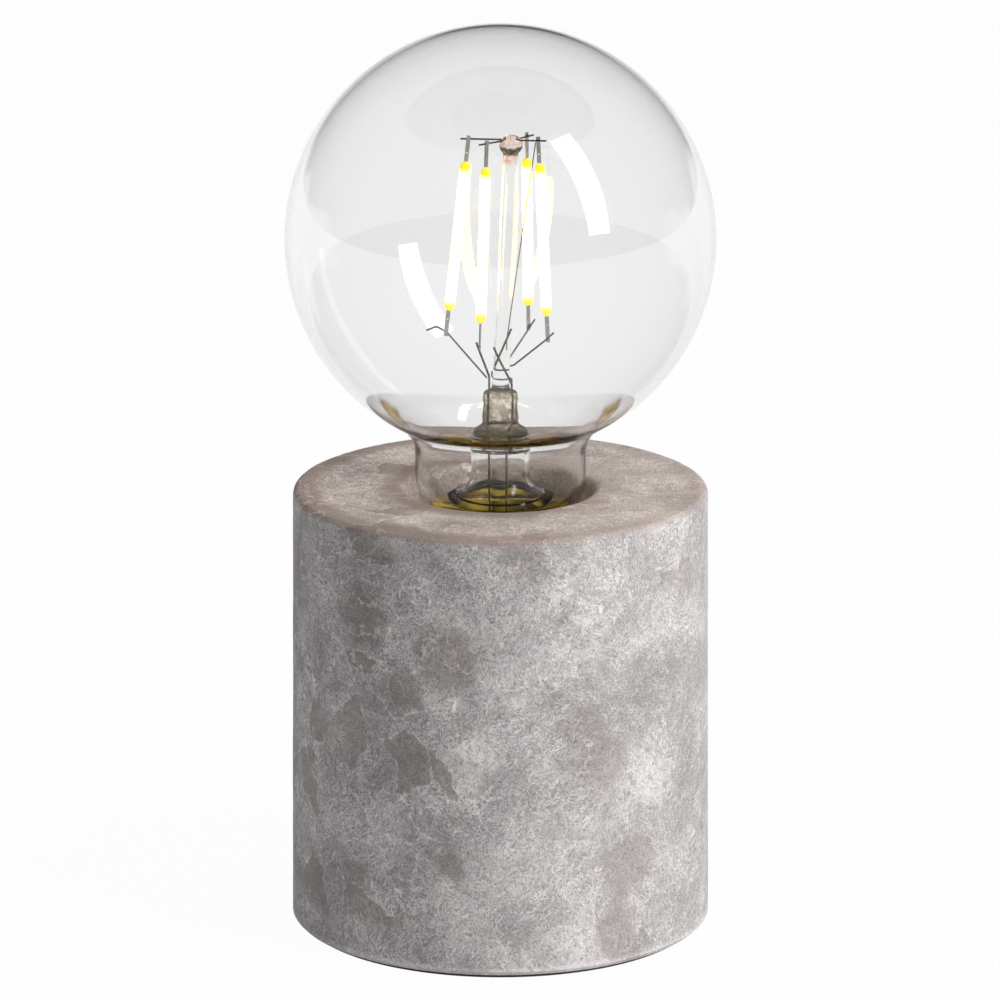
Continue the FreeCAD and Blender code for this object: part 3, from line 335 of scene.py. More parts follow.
paper = Finish("floor paper")
path = paper.node("ShaderNodeLightPath")
looked_at = (path["Is Camera Ray"] + path["Is Glossy Ray"] + path["Is Transmission Ray"]).at_most(1.0)
fibre = paper.grain(900.0, 3.0)
matt = paper.principled(
    Base_Color=paper.blend(fibre, (0.60, 0.60, 0.60), (0.63, 0.63, 0.63)), Roughness=0.9,
    Specular_IOR_Level=0.1,
)
glow = paper.node("ShaderNodeEmission", None, {"Color": (1, 1, 1, 1), "Strength": 1.0})
lit = paper.node("ShaderNodeMixShader", None, {
    0: looked_at * FLOOR_GLOW, 1: matt, 2: glow["Emission"],
})
FLOOR_REACH = 6.0
sheet = bmesh.new()
bmesh.ops.create_grid(sheet, x_segments=12, y_segments=12, size=FLOOR_REACH)
floor_mesh = bpy.data.meshes.new("floor")
sheet.to_mesh(floor_mesh)
floor = bpy.data.objects.new("floor", floor_mesh)
bpy.context.scene.collection.objects.link(floor)
floor.data.materials.append(paper.show(lit["Shader"]))
print("floor across, m:", 2 * FLOOR_REACH)

# %% [markdown]
# ## Turned shapes
#
# Most of the lamp is round, so most pieces are a stack of rings round an axis. A ring may
# be an ellipse and may sit off the axis, which also makes the stem's flat pinch and its
# leaning rod. The chain of rings runs from pole to pole or closes on itself, so each piece
# is a closed skin with no seam.


# %% Ring builder
def arc_points(centre, radius, start, end, steps):
    """Points of an arc in the (radius, height) plane, angles in degrees."""
    turn = [math.radians(start + (end - start) * i / steps) for i in range(steps + 1)]
    return [(centre[0] + radius * math.cos(a), centre[1] + radius * math.sin(a)) for a in turn]


def softened(corners, steps=5):
    """An outline whose corners (radius, height, round) become arcs. It is closed."""
    points = []
    count = len(corners)
    for i, (x, y, round_radius) in enumerate(corners):
        here = Vector((x, y))
        if round_radius == 0:
            points.append((x, y))
            continue
        before = (Vector(corners[i - 1][:2]) - here).normalized()
        after = (Vector(corners[(i + 1) % count][:2]) - here).normalized()
        half = before.angle(after) / 2
        back = round_radius / math.tan(half)
        first = here + before * back
        last = here + after * back
        middle = here + (before + after).normalized() * round_radius / math.sin(half)
        for k in range(steps + 1):
            share = k / steps
            spoke = (first - middle).lerp(last - middle, share).normalized() * round_radius
            points.append(tuple(middle + spoke))
    return points


def dense(points, spacing, closed=True):
    """The same outline with more points on its long straight runs."""
    out = []
    last = len(points) if closed else len(points) - 1
    for i in range(last):
        a = Vector(points[i])
        b = Vector(points[(i + 1) % len(points)])
        steps = max(1, round((b - a).length / spacing))
        out += [tuple(a.lerp(b, k / steps)) for k in range(steps)]
    return out if closed else out + [points[-1]]


def skin(name, rings, steps, closed=False, place=None, sharp=35.0):
    """A closed skin over rings (x, y, z, half width, half depth), or a pole where they are 0."""
    mesh = bmesh.new()
    rows = []
    for x, y, z, wide, deep in rings:
        if wide < 1e-7:
            rows.append([mesh.verts.new((x, y, z))])
            continue
        row = []
        for k in range(steps):
            a = 2 * math.pi * k / steps
            row.append(mesh.verts.new((x + wide * math.cos(a), y + deep * math.sin(a), z)))
        rows.append(row)
    pairs = list(zip(rows, rows[1:]))
    if closed:
        pairs.append((rows[-1], rows[0]))
    for low, high in pairs:
        for k in range(steps):
            n = (k + 1) % steps
            corners = [low[k % len(low)], low[n % len(low)], high[n % len(high)], high[k % len(high)]]
            face = []
            for corner in corners:
                if corner not in face:
                    face.append(corner)
            if len(face) > 2:
                mesh.faces.new(face)
    if place is not None:
        for vert in mesh.verts:
            vert.co = place(vert.co)
    return piece_from(mesh, name, sharp)


def piece_from(mesh, name, sharp=35.0):
    """Turns a bmesh into an object at the origin, faces outwards, edges sharp by angle."""
    if mesh.calc_volume(signed=True) < 0:
        bmesh.ops.reverse_faces(mesh, faces=mesh.faces)
    limit = math.radians(sharp)
    for face in mesh.faces:
        face.smooth = True
    for edge in mesh.edges:
        edge.smooth = len(edge.link_faces) < 2 or edge.calc_face_angle(0) < limit
    data = bpy.data.meshes.new(name)
    mesh.to_mesh(data)
    mesh.free()
    made = bpy.data.objects.new(name, data)
    bpy.context.scene.collection.objects.link(made)
    return made


def turned(name, outline, steps=128, closed=True, place=None, sharp=35.0):
    """A piece turned round the lamp's axis from (radius, height) points."""
    return skin(name, [(0, 0, z, r, r) for r, z in outline], steps, closed, place, sharp)


def settle(piece, body, slot, material, *replaced):
    """Gives a piece its material, its body and the solids that it stands for; the slot is not used."""
    piece.data.materials.clear()
    piece.data.materials.append(material)
    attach(piece, body)
    if replaced:
        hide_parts(*replaced)
    print(piece.name, "faces:", len(piece.data.polygons))
    return piece


# %% [markdown]
# ## Cast concrete
#
# The cylinder is poured and then rubbed down. Its side shows a fine tangle of white hairs,
# pale lime bloom, islands of smooth dark paste with white outlines, and its top is warmer
# and smoother towards both rims, less so towards +X, which is painted side light. Noise
# alone looks like fog, so the hairs and the outlines are contour lines: places where a
# warped noise crosses one level. The tone also rises a little towards +X. That is painted
# side light, fixed to the piece, on top of what the lamps do. The foot's edge is painted
# paler, a painted highlight, and the bore's wall warmer and darker, painted shade.

# %% Concrete finish
LIME_PATCHES = [
    (0.019, -0.042, 0.089, 0.0110), (0.001, -0.046, 0.069, 0.0060), (0.011, -0.045, 0.075, 0.0070),
    (-0.006, -0.046, 0.052, 0.0080), (0.033, -0.032, 0.044, 0.0090),
]
SMOOTH_PATCHES = [
    (0.017, -0.043, 0.056, 0.0060), (0.021, -0.042, 0.045, 0.0070), (0.029, -0.036, 0.022, 0.0080),
    (0.026, -0.038, 0.010, 0.0060), (-0.030, -0.035, 0.080, 0.0075), (-0.022, -0.041, 0.066, 0.0055),
    (-0.012, -0.045, 0.074, 0.0080), (-0.031, -0.034, 0.018, 0.0040), (-0.012, -0.045, 0.027, 0.0040),
]
PALEST = 0.86
# warm colour: the paste's and the top's own tone, and also the painted shade in the bore
WARM_TONE_AND_SHADE = (0.90, 0.77, 0.71)


def concrete_finish():
    f = Finish("cast concrete")
    swirl = f.node("ShaderNodeTexNoise", None, {
        "Vector": f.place, "Scale": 34.0, "Detail": 5.0, "Roughness": 0.62})
    warped = f.node("ShaderNodeVectorMath", {"operation": "MULTIPLY_ADD"},
                    {0: swirl["Color"], 1: (0.021, 0.021, 0.021), 2: f.place})["Vector"]
    ragged = f.node("ShaderNodeTexNoise", None, {
        "Vector": f.place, "Scale": 190.0, "Detail": 4.0, "Roughness": 0.7})
    torn = f.node("ShaderNodeVectorMath", {"operation": "MULTIPLY_ADD"},
                  {0: ragged["Color"], 1: (0.0052, 0.0052, 0.0052), 2: warped})["Vector"]
    parts = f.axes()
    height = parts["Z"]
    reach = (parts["X"] * parts["X"] + parts["Y"] * parts["Y"]).power(0.5)
    on_top = f.between(height, 0.0984, 0.0996)
    # painted shade: the bore's wall is tinted warmer and darker
    painted_bore_shade = f.between(reach, 0.0212, 0.0206) * f.between(height, 0.03, 0.04)

    def patches(places):
        """Where listed patches lie, torn at their edges."""
        mask = 0.0
        for x, y, z, size in places:
            shift = f.node("ShaderNodeVectorMath", {"operation": "DISTANCE"}, {
                0: torn, 1: (x + 0.0131, y + 0.0131, z + 0.0131)})["Value"]
            mask = f.between(shift, size * 1.15, size * 0.55) + mask
        return mask.at_most(1.0)

    def strands(scale, turn, length, level, width, shift=0.0):
        """Fine white hairs along one direction."""
        lined = f.node("ShaderNodeMapping", {"vector_type": "TEXTURE"}, {
            "Vector": warped, "Rotation": turn, "Scale": (1, 1, length),
            "Location": (shift, shift, 0)})["Vector"]
        return f.line_at(f.grain(scale, 2.0, 0.6, 0.0, place=lined), level, width)

    def where(shift, low=0.44, high=0.56):
        """A soft share of the surface."""
        return f.between(f.grain(55.0, 3.0, 0.6, place=f.moved(shift=(shift, shift, shift))), low, high)

    fur = strands(1650.0, (0.0, 0.75, 0.0), 5.0, 0.50, 0.045) * where(0.0, 0.42, 0.54)
    fur = fur + strands(1650.0, (0.1, -0.85, 0.2), 5.0, 0.50, 0.045, 0.3) * where(1.7, 0.42, 0.54)
    fur = fur + strands(1450.0, (0.5, 0.15, 0.0), 4.5, 0.48, 0.042, 0.7) * where(3.1)
    fur = fur + strands(1450.0, (0.2, 1.45, 0.4), 4.5, 0.52, 0.042, 1.1) * where(4.9)
    fur = fur + strands(1350.0, (1.45, 0.0, 0.5), 4.5, 0.50, 0.042, 1.9) * where(6.3, 0.40, 0.55)
    curls = f.line_at(f.grain(680.0, 2.0, 0.55, 0.5, place=warped), 0.5, 0.034)
    curls = curls + f.line_at(f.grain(330.0, 3.0, 0.6, 0.4, place=warped), 0.47, 0.022)
    fur = (fur + curls * 0.8).at_most(1.0).power(1.7)

    cloud = f.grain(15.0, 6.0, 0.62)
    blotch = f.grain(62.0, 6.0, 0.68, place=warped)
    speckle = f.grain(2000.0, 3.0, 0.75)
    cell = f.node("ShaderNodeTexVoronoi", {"feature": "F1"}, {"Vector": torn, "Scale": 95.0})
    share = f.node("ShaderNodeSeparateColor", None, {"Color": cell["Color"]})["Red"]
    edge = f.cells(95.0, place=torn, feature="DISTANCE_TO_EDGE")
    veined = f.grain(26.0, 3.0, 0.6, place=f.moved(shift=(2.0, 5.0, 1.0))) - parts["X"] * 2.6
    veined = f.between(veined, 0.46, 0.60)
    veins = f.between(edge, 0.045, 0.0) * veined * f.between(f.grain(260.0, 4.0, 0.7), 0.40, 0.58)
    smooth = patches(SMOOTH_PATCHES)
    paste = (f.between(share, 0.20, 0.12) * veined + smooth * 0.9).at_most(1.0)
    bloom = f.between(f.grain(27.0, 7.0, 0.74, place=f.moved(shift=(0.3, 0.1, 0.7))), 0.52, 0.68)
    bloom = (bloom * 0.45 + patches(LIME_PATCHES)).at_most(1.0)
    bloom = bloom * f.between(f.grain(560.0, 5.0, 0.75), 0.34, 0.62)

    rim_tone_and_side_light = (f.between(reach, 0.0385, 0.0432) + f.between(reach, 0.0290, 0.0240)).at_most(1.0)
    # the top's own warmer, smoother tone near both rims; fading it towards +X is painted side light
    rim_tone_and_side_light = rim_tone_and_side_light * f.between(parts["X"] + (cloud - 0.5) * 0.03, 0.022, -0.012, 0.40, 1.0)
    fur = fur * (1 - paste * 0.62) * (1 - rim_tone_and_side_light * on_top * 0.85) * f.between(blotch, 0.30, 0.62, 0.45, 1.0)
    # painted side light: the tone rises towards +X, lighter on the lit side and darker on the other
    painted_side_light = f.between(parts["X"] * 9.0 + cloud, 0.20, 0.90, -0.045, 0.045)
    tone = 0.315 + painted_side_light + (cloud - 0.5) * 0.12 + (blotch - 0.5) * 0.24 + (speckle - 0.5) * 0.42
    tone = tone - paste * 0.03 + veins * 0.26 + bloom * 0.22 + fur * 0.42 + on_top * 0.04
    # painted highlight: the concrete's edge at the foot is made paler
    painted_foot_highlight = f.between(height, 0.0036, 0.0020) * 0.18
    tone = (tone + painted_foot_highlight).at_most(PALEST)
    grey = f.node("ShaderNodeCombineColor", None, {
        "Red": tone, "Green": tone * 0.945, "Blue": tone * 0.935})["Color"]
    # warm tint: own tone on the paste and the top's rims, painted shade in the bore and towards -X on the rims
    warm_tone_and_painted_shade = (on_top * f.between(rim_tone_and_side_light, 0.0, 1.0, 0.45, 1.0) + painted_bore_shade * 0.6 + paste * 0.30).at_most(1.0)
    tinted = f.blend(warm_tone_and_painted_shade, grey, f.blend(1.0, grey, WARM_TONE_AND_SHADE, "MULTIPLY"))
    dull = 0.76 + (speckle - 0.5) * 0.2 - paste * 0.16 - rim_tone_and_side_light * on_top * 0.12
    relief = (fur * 0.5 + veins * 0.6 + bloom * 0.4 + speckle * 0.35
              + blotch * 0.6 - f.between(f.cells(330.0), 0.16, 0.05) * 0.8)
    return f.show(f.principled(
        Base_Color=tinted, Roughness=dull, Specular_IOR_Level=0.35,
        Normal=f.bump(relief, 0.55, 0.00045),
    ))


concrete = concrete_finish()

# %% Concrete body
BODY_FOOT = 0.001
BODY_TOP = 0.100
FOOT_RADIUS = 0.0467
TOP_RADIUS = 0.0460
BORE_RADIUS = 0.0205
WEB_TOP = 0.036
CAVITY_ROOF = 0.026
NIPPLE_HOLE = 0.00525
TOP_RUBBED = 0.00003


def wall_radius(height):
    return FOOT_RADIUS + (TOP_RADIUS - FOOT_RADIUS) * (height - BODY_FOOT) / (BODY_TOP - BODY_FOOT)


body_outline = softened([
    (0.0300, BODY_FOOT, 0.0003),
    (FOOT_RADIUS - 0.0010, BODY_FOOT, 0.0003),
    (wall_radius(0.0020), 0.0020, 0.0004),
    (TOP_RADIUS, BODY_TOP, 0.0015),
    (BORE_RADIUS, BODY_TOP, 0.0020),
    (BORE_RADIUS, WEB_TOP, 0.0010),
    (NIPPLE_HOLE, WEB_TOP, 0.0),
    (NIPPLE_HOLE, CAVITY_ROOF, 0.0),
    (0.0288, CAVITY_ROOF, 0.0030),
])


def weathered(point):
    """Slight cast unevenness, stronger where the sharp rims have worn."""
    reach = Vector((point.x, point.y)).length
    if reach < 0.019 or point.z < 0.0016:
        return point
    outward = Vector((point.x, point.y, 0)).normalized()
    swell = noise.fractal(point * 60, 0.8, 2.0, 3) * 0.00004
    swell += noise.noise(point * 420) * 0.000022
    rim = max(0.0, 1 - abs(point.z - BODY_TOP + 0.0008) / 0.002)
    wear = rim * max(0.0, noise.fractal(point * 190, 0.8, 2.0, 3)) * 0.00012
    on_top = 1.0 if point.z > BODY_TOP - 0.0004 else 0.0
    sideways = 1.0 if reach > 0.03 else -1.0
    lowered = Vector((0, 0, on_top * (swell - wear) - on_top * TOP_RUBBED))
    return point + outward * sideways * (1 - on_top) * (swell - wear) + lowered


body = turned("cast_concrete", dense(body_outline, 0.0011), 320, place=weathered, sharp=40.0)


def placed(piece, place):
    """Moves every point of a piece."""
    for vert in piece.data.vertices:
        vert.co = place(vert.co)
    return piece


def backwards(point):
    """Lays a shape turned round the lamp's axis along +Y, at the height of the cable's hole."""
    return Vector((point.x, point.z, CABLE_HEIGHT - point.y))


def carved(piece, tool):
    """Cuts the tool's shape out of a piece."""
    cutter = piece.modifiers.new("cut", "BOOLEAN")
    cutter.operation = "DIFFERENCE"
    cutter.solver = "EXACT"
    cutter.object = tool
    now = bpy.context.evaluated_depsgraph_get()
    cut = bpy.data.meshes.new_from_object(piece.evaluated_get(now), depsgraph=now)
    piece.modifiers.clear()
    piece.data = cut
    bpy.data.objects.remove(tool)
    return piece


def drill(radius, start, end):
    """A round rod on the lamp's axis."""
    return turned("drill", [(0, start), (radius, start), (radius, end), (0, end)], 64, closed=False)


CABLE_HEIGHT = 0.009
CABLE_HOLE = 0.00480
SEAT_RADIUS = 0.00665
SEAT_Y = 0.0453434
body = carved(body, placed(drill(CABLE_HOLE, 0.020, 0.060), backwards))
body = carved(body, placed(drill(SEAT_RADIUS, SEAT_Y, 0.060), backwards))
settle(body, "base", "concrete", concrete, "concrete_body")

# %% [markdown]
# ## Clear blown glass
#
# The globe is a real shell here, with an outer and an inner skin 0.7 mm apart, and 1.2 mm
# in the neck, so each skin mirrors the softbox and bends what is behind it, most near its
# outline. A lamp's light goes straight through by way of the Is Shadow Ray switch, because
# refracted light would leave the things behind the glass noisy and dark.
#
# The gold at the round of the neck isn't a good example. On the real bulb it is the cap,
# seen in the glass. Here it is a tint that Layer Weight places to suit the front view, so
# it slides over the glass in other views, and a bake has no camera to place it by.


# %% Glass finishes
SHADOW_CLEARNESS = (0.985, 0.985, 0.985, 1.0)
CLEAR_TINT = (0.965, 0.965, 0.967)
GOLD_LEVEL = 0.1240
GOLD_SLIDE = 0.0104


class GlassFinish(Finish):
    """Clear glass that lets lamps' light straight through."""

    def finished(self, tint, waviness, wave_scale, smear, lumps=None):
        dust = self.between(self.grain(70.0, 6.0, 0.7), 0.5, 0.8, 0.0, smear)
        height = self.grain(wave_scale, 2.0, 0.5)
        shell = self.principled(
            Base_Color=tint, Roughness=dust, IOR=1.5, Transmission_Weight=1.0,
            Normal=self.bump(height if lumps is None else height + lumps, waviness, 0.0004),
        )
        clear = self.node("ShaderNodeBsdfTransparent", None, {"Color": SHADOW_CLEARNESS})["BSDF"]
        shadow = self.node("ShaderNodeLightPath")["Is Shadow Ray"]
        mixed = self.node("ShaderNodeMixShader", None, {0: shadow, 1: shell, 2: clear})
        return self.show(mixed["Shader"])


def globe_glass():
    """Clear glass, with a painted reflection of the cap: a gold tint placed by the viewing angle."""
    f = GlassFinish("clear blown glass")
    edge_on = f.node("ShaderNodeLayerWeight", None, {"Blend": 0.5})["Facing"]
    mottle = f.grain(260.0, 4.0, 0.65)
    level = f.axes()["Z"] + edge_on * GOLD_SLIDE + (mottle - 0.5) * 0.0008
    # painted reflection of the cap: a gold band where the neck's round is seen edge-on
    gold = f.between(abs(level - GOLD_LEVEL), 0.0017, 0.0010) * f.between(edge_on, 0.60, 0.68)
    gold = gold * f.between(edge_on, 0.80, 0.92, 1.0, 0.3)
    amber = f.blend(f.between(mottle, 0.35, 0.65), (0.10, 0.035, 0.0002), (0.34, 0.17, 0.006))
    return f.finished(f.blend(gold, CLEAR_TINT, amber), 0.02, 26.0, 0.012)


def mount_glass():
    """Drawn glass, smoky and lumpy in the pinch, coppery round the wires in the button."""
    f = GlassFinish("drawn stem glass")
    height = f.axes()["Z"]
    pinched = f.between(height, 0.1108, 0.1122) * f.between(height, 0.1232, 0.1222)
    buttoned = f.between(height, 0.1725, 0.1745)
    fold = f.grain(620.0, 3.0, 0.6, 1.2)
    smoke = f.blend(f.between(fold, 0.40, 0.56), (0.98, 0.97, 0.95), (0.50, 0.42, 0.27))
    copper = f.blend(f.between(f.grain(900.0, 3.0, 0.6), 0.40, 0.60), (0.99, 0.90, 0.84), (0.80, 0.42, 0.28))
    tint = f.blend(pinched, (0.975, 0.972, 0.965), smoke)
    tint = f.blend(buttoned, tint, copper)
    return f.finished(tint, 0.25, 210.0, 0.05, fold * pinched * 5.0)


clear_glass = globe_glass()
stem_glass = mount_glass()

# %% Globe
GLOBE_RADIUS = 0.0475
GLASS_WALL = 0.0007
NECK_RADIUS = 0.0188
NECK_FOOT = 0.0960
NECK_SLOPE = math.radians(1.0)
NECK_FILLET = 0.0080
TAIL_RADIUS = 0.0120
TAIL_FOOT = 0.0840
SHOULDER_ROUND = NECK_RADIUS - TAIL_RADIUS - 0.0001


def globe_skin():
    """The globe's outer skin from the tail's foot up to the pole."""
    along = Vector((math.sin(NECK_SLOPE), math.cos(NECK_SLOPE)))
    outward = Vector((math.cos(NECK_SLOPE), -math.sin(NECK_SLOPE)))
    foot = Vector((NECK_RADIUS, NECK_FOOT))
    centre = Vector((0, GLOBE_CENTRE.z))
    reach = foot + outward * NECK_FILLET - centre
    half = reach.dot(along)
    rest = reach.dot(reach) - (GLOBE_RADIUS + NECK_FILLET) ** 2
    fillet = foot + along * (-half - math.sqrt(half * half - rest)) + outward * NECK_FILLET
    rise = SHOULDER_ROUND * (1 - math.sin(NECK_SLOPE)) / math.cos(NECK_SLOPE)
    shoulder = foot + along * rise - outward * SHOULDER_ROUND
    low = math.degrees(math.atan2(fillet.y - centre.y, fillet.x))
    slope = math.degrees(NECK_SLOPE)
    return (
        [(TAIL_RADIUS, TAIL_FOOT), (TAIL_RADIUS, TAIL_FOOT + 0.004),
         (TAIL_RADIUS, shoulder.y - SHOULDER_ROUND)]
        + arc_points(shoulder, SHOULDER_ROUND, -89, -slope, 18)
        + arc_points(fillet, NECK_FILLET, 180 - slope, 180 + low, 12)
        + arc_points(centre, GLOBE_RADIUS, low, 89.2, 84)[1:]
        + [(0, GLOBE_CENTRE.z + GLOBE_RADIUS)]
    )


WALL_BY_HEIGHT = [(0.084, 0.0007), (0.0925, 0.0010), (0.096, 0.0012), (0.100, 0.0012), (0.106, 0.0011),
                  (0.112, 0.0009), (0.118, GLASS_WALL), (0.210, GLASS_WALL)]


def wall_at(height):
    """Drawn glass: thin in the globe, thicker down the neck, thin again in the tail."""
    for (low, thin), (high, thick) in zip(WALL_BY_HEIGHT, WALL_BY_HEIGHT[1:]):
        if low <= height <= high:
            share = (height - low) / (high - low)
            return thin + (thick - thin) * share * share * (3 - 2 * share)
    return GLASS_WALL


def inner_skin(outer):
    """Points a wall's thickness inside an outline."""
    inner = []
    for before, here, after in zip(outer[:1] + outer, outer, outer[1:] + outer[-1:]):
        along = (Vector(after) - Vector(before)).normalized()
        inward = Vector((-along.y, along.x)) * wall_at(here[1])
        inner.append((max(0.0, here[0] + inward.x), here[1] + inward.y))
    return inner[:-1] + [(0, outer[-1][1] - GLASS_WALL)]


outer_skin = globe_skin()
globe_outline = list(reversed(outer_skin)) + inner_skin(outer_skin)
globe = turned("blown_globe", globe_outline, 288, closed=False, sharp=60.0)
settle(globe, "bulb", "clear_glass", clear_glass, "glass_globe")

# %% [markdown]
# ## The glass mount
#
# A flared tube is fused in the neck. Its top is pinched flat while soft, round the two
# leads, and carries a leaning rod with a round button. Pinched glass is never even, so the
# rings of the pinch are nudged by noise. The flare stands 10 mm higher here than in the
# solid, because the photograph shows it there.

# %% Stem, exhaust tube and rod
STEM_RADIUS = 0.0065
PINCH_FOOT = TAIL_FOOT + 0.0278
PINCH_LENGTH = 0.0104
PINCH_TOP = PINCH_FOOT + PINCH_LENGTH
PINCH_HALF_WIDTH = 0.0038
PINCH_HALF_DEPTH = 0.0019
BELL_TOP = 0.1032
TAIL_BORE = TAIL_RADIUS - GLASS_WALL
BELL_SWEEP = TAIL_BORE - STEM_RADIUS
BELL_FOOT = BELL_TOP - BELL_SWEEP
BELL_GLASS = 0.0009


def stem_rings():
    """Rings from the top of the pinch down the outside, and up the bore to its roof."""
    rings = [(0, 0, PINCH_TOP, 0, 0)]
    for share, wide, deep in ((0.0, 0.60, 0.55), (0.03, 0.86, 0.80), (0.09, 1.0, 0.97), (0.2, 1.02, 1.05),
                              (0.35, 0.97, 0.93), (0.5, 1.0, 1.0), (0.62, 1.04, 1.08), (0.71, 1.03, 1.0)):
        rings.append((0, 0, PINCH_TOP - PINCH_LENGTH * share, PINCH_HALF_WIDTH * wide, PINCH_HALF_DEPTH * deep))
    for k in range(1, 9):
        share = k / 8
        ease = share * share * (3 - 2 * share)
        wide = PINCH_HALF_WIDTH * 1.03 + (STEM_RADIUS - PINCH_HALF_WIDTH * 1.03) * ease
        deep = PINCH_HALF_DEPTH + (STEM_RADIUS - PINCH_HALF_DEPTH) * ease
        rings.append((0, 0, PINCH_FOOT + 0.0030 * (1 - share), wide, deep))
    for z in (PINCH_FOOT - 0.002, PINCH_FOOT - 0.005, BELL_TOP + 0.001):
        rings.append((0, 0, z, STEM_RADIUS, STEM_RADIUS))
    for r, z in arc_points((TAIL_BORE, BELL_TOP), BELL_SWEEP, 180, 262, 16):
        rings.append((0, 0, z, r, r))
    for r, z in ((TAIL_BORE - 0.00002, BELL_FOOT - 0.0012), (TAIL_BORE - 0.00002, TAIL_FOOT - 0.0002),
                 (TAIL_RADIUS, TAIL_FOOT - 0.0003), (TAIL_RADIUS, TAIL_FOOT - 0.0008),
                 (TAIL_BORE - 0.0008, TAIL_FOOT - 0.0008), (TAIL_BORE - BELL_GLASS, BELL_FOOT - 0.0022)):
        rings.append((0, 0, z, r, r))
    for r, z in arc_points((TAIL_BORE, BELL_TOP), BELL_SWEEP + BELL_GLASS, 256, 180, 16):
        rings.append((0, 0, z, r, r))
    bore = STEM_RADIUS - 0.001
    for r, z in ((bore, PINCH_FOOT - 0.004), (bore * 0.96, PINCH_FOOT - 0.002),
                 (bore * 0.7, PINCH_FOOT - 0.0012), (0, PINCH_FOOT - 0.001)):
        rings.append((0, 0, z, r, r))
    return rings


def kneaded(point):
    """Pinched glass: lumps and dents that fade out down the tube."""
    share = max(0.0, min(1.0, (point.z - PINCH_FOOT + 0.001) / 0.003))
    outward = Vector((point.x, point.y, 0))
    if outward.length < 1e-5:
        return point
    return point + outward.normalized() * noise.fractal(point * 700, 0.7, 2.0, 2) * 0.00028 * share


stem = skin("glass_stem", stem_rings(), 96, place=kneaded, sharp=50.0)
settle(stem, "bulb", "stem_glass", stem_glass, "stem_tube")

EXHAUST_TIP = TAIL_FOOT + 0.005
EXHAUST_RADIUS = 0.0020
exhaust_outline = (
    [(0, PINCH_FOOT - 0.0011), (EXHAUST_RADIUS, PINCH_FOOT - 0.0011), (EXHAUST_RADIUS, EXHAUST_TIP)]
    + arc_points((0, EXHAUST_TIP), EXHAUST_RADIUS, -10, -80, 6) + [(0, EXHAUST_TIP - EXHAUST_RADIUS)]
)
exhaust = turned("pumping_tube", exhaust_outline, 48, closed=False, sharp=50.0)
settle(exhaust, "bulb", "stem_glass", stem_glass, "exhaust_tube")

ROD_LEAN = math.radians(2.4)
ROD_LENGTH = 0.0553
ROD_RADIUS = 0.0018
BUTTON_RADIUS = 0.0026
BUTTON_HALF_HEIGHT = 0.0023
rod_line = Vector((math.sin(ROD_LEAN), 0, math.cos(ROD_LEAN)))
button = Vector((0, 0, PINCH_TOP)) + rod_line * ROD_LENGTH
rod_rings = [(0, 0, PINCH_TOP - 0.0001, 0, 0), (0, 0, PINCH_TOP - 0.0001, 0.0022, 0.0018)]
for share in (0.02, 0.05, 0.1, 0.3, 0.5, 0.7, 0.86, 0.93, 0.955):
    at = Vector((0, 0, PINCH_TOP)) + rod_line * ROD_LENGTH * share
    thick = ROD_RADIUS * (1 + 0.05 * math.sin(share * 19))
    rod_rings.append((at.x, at.y, at.z, thick, thick))
for angle in range(-50, 90, 10):
    a = math.radians(angle)
    at = button + rod_line * BUTTON_HALF_HEIGHT * math.sin(a)
    rod_rings.append((at.x, at.y, at.z, BUTTON_RADIUS * math.cos(a), BUTTON_RADIUS * math.cos(a)))
rod_rings.append((*(button + rod_line * BUTTON_HALF_HEIGHT), 0, 0))
rod = skin("button_rod", rod_rings, 64, sharp=60.0)
settle(rod, "bulb", "stem_glass", stem_glass, "stem_rod")

# %% [markdown]
# ## Light filaments
#
# Each is a thin strip with a row of chips under a yellow coat. The coat glows white where
# the chips are, and stays lemon yellow at its two ends. An attribute that runs from 0 at
# the foot to 1 at the top carries that change of colour.


# %% Filament finish and rods
def filament_finish():
    f = Finish("yellow coat, glowing")
    along = f.node("ShaderNodeAttribute", {"attribute_name": "along"})["Fac"]
    lit = f.ramp(along, [
        (0.0, (0.12, 0.09, 0.0)), (0.04, (0.15, 0.11, 0.002)), (0.075, (1.0, 0.80, 0.22)),
        (0.5, (1.0, 0.84, 0.30)), (0.925, (1.0, 0.80, 0.22)), (0.96, (0.15, 0.11, 0.002)),
        (1.0, (0.12, 0.09, 0.0)),
    ])
    chips = f.between(abs((along * 88.0).sine()), 0.0, 1.0, 0.86, 1.0)
    lumps = f.grain(900.0, 2.0)
    return f.show(f.principled(
        Base_Color=f.blend(lumps, (0.90, 0.66, 0.02), (0.95, 0.76, 0.06)), Roughness=0.42,
        Emission_Color=f.blend(1.0, lit, f.node("ShaderNodeCombineColor", None, {
            "Red": chips, "Green": chips, "Blue": chips})["Color"], "MULTIPLY"),
        Emission_Strength=5.8, Normal=f.bump(lumps, 0.2, 0.0002),
    ))


def mean(points):
    """The middle of some points."""
    return sum(points, Vector()) / len(points)


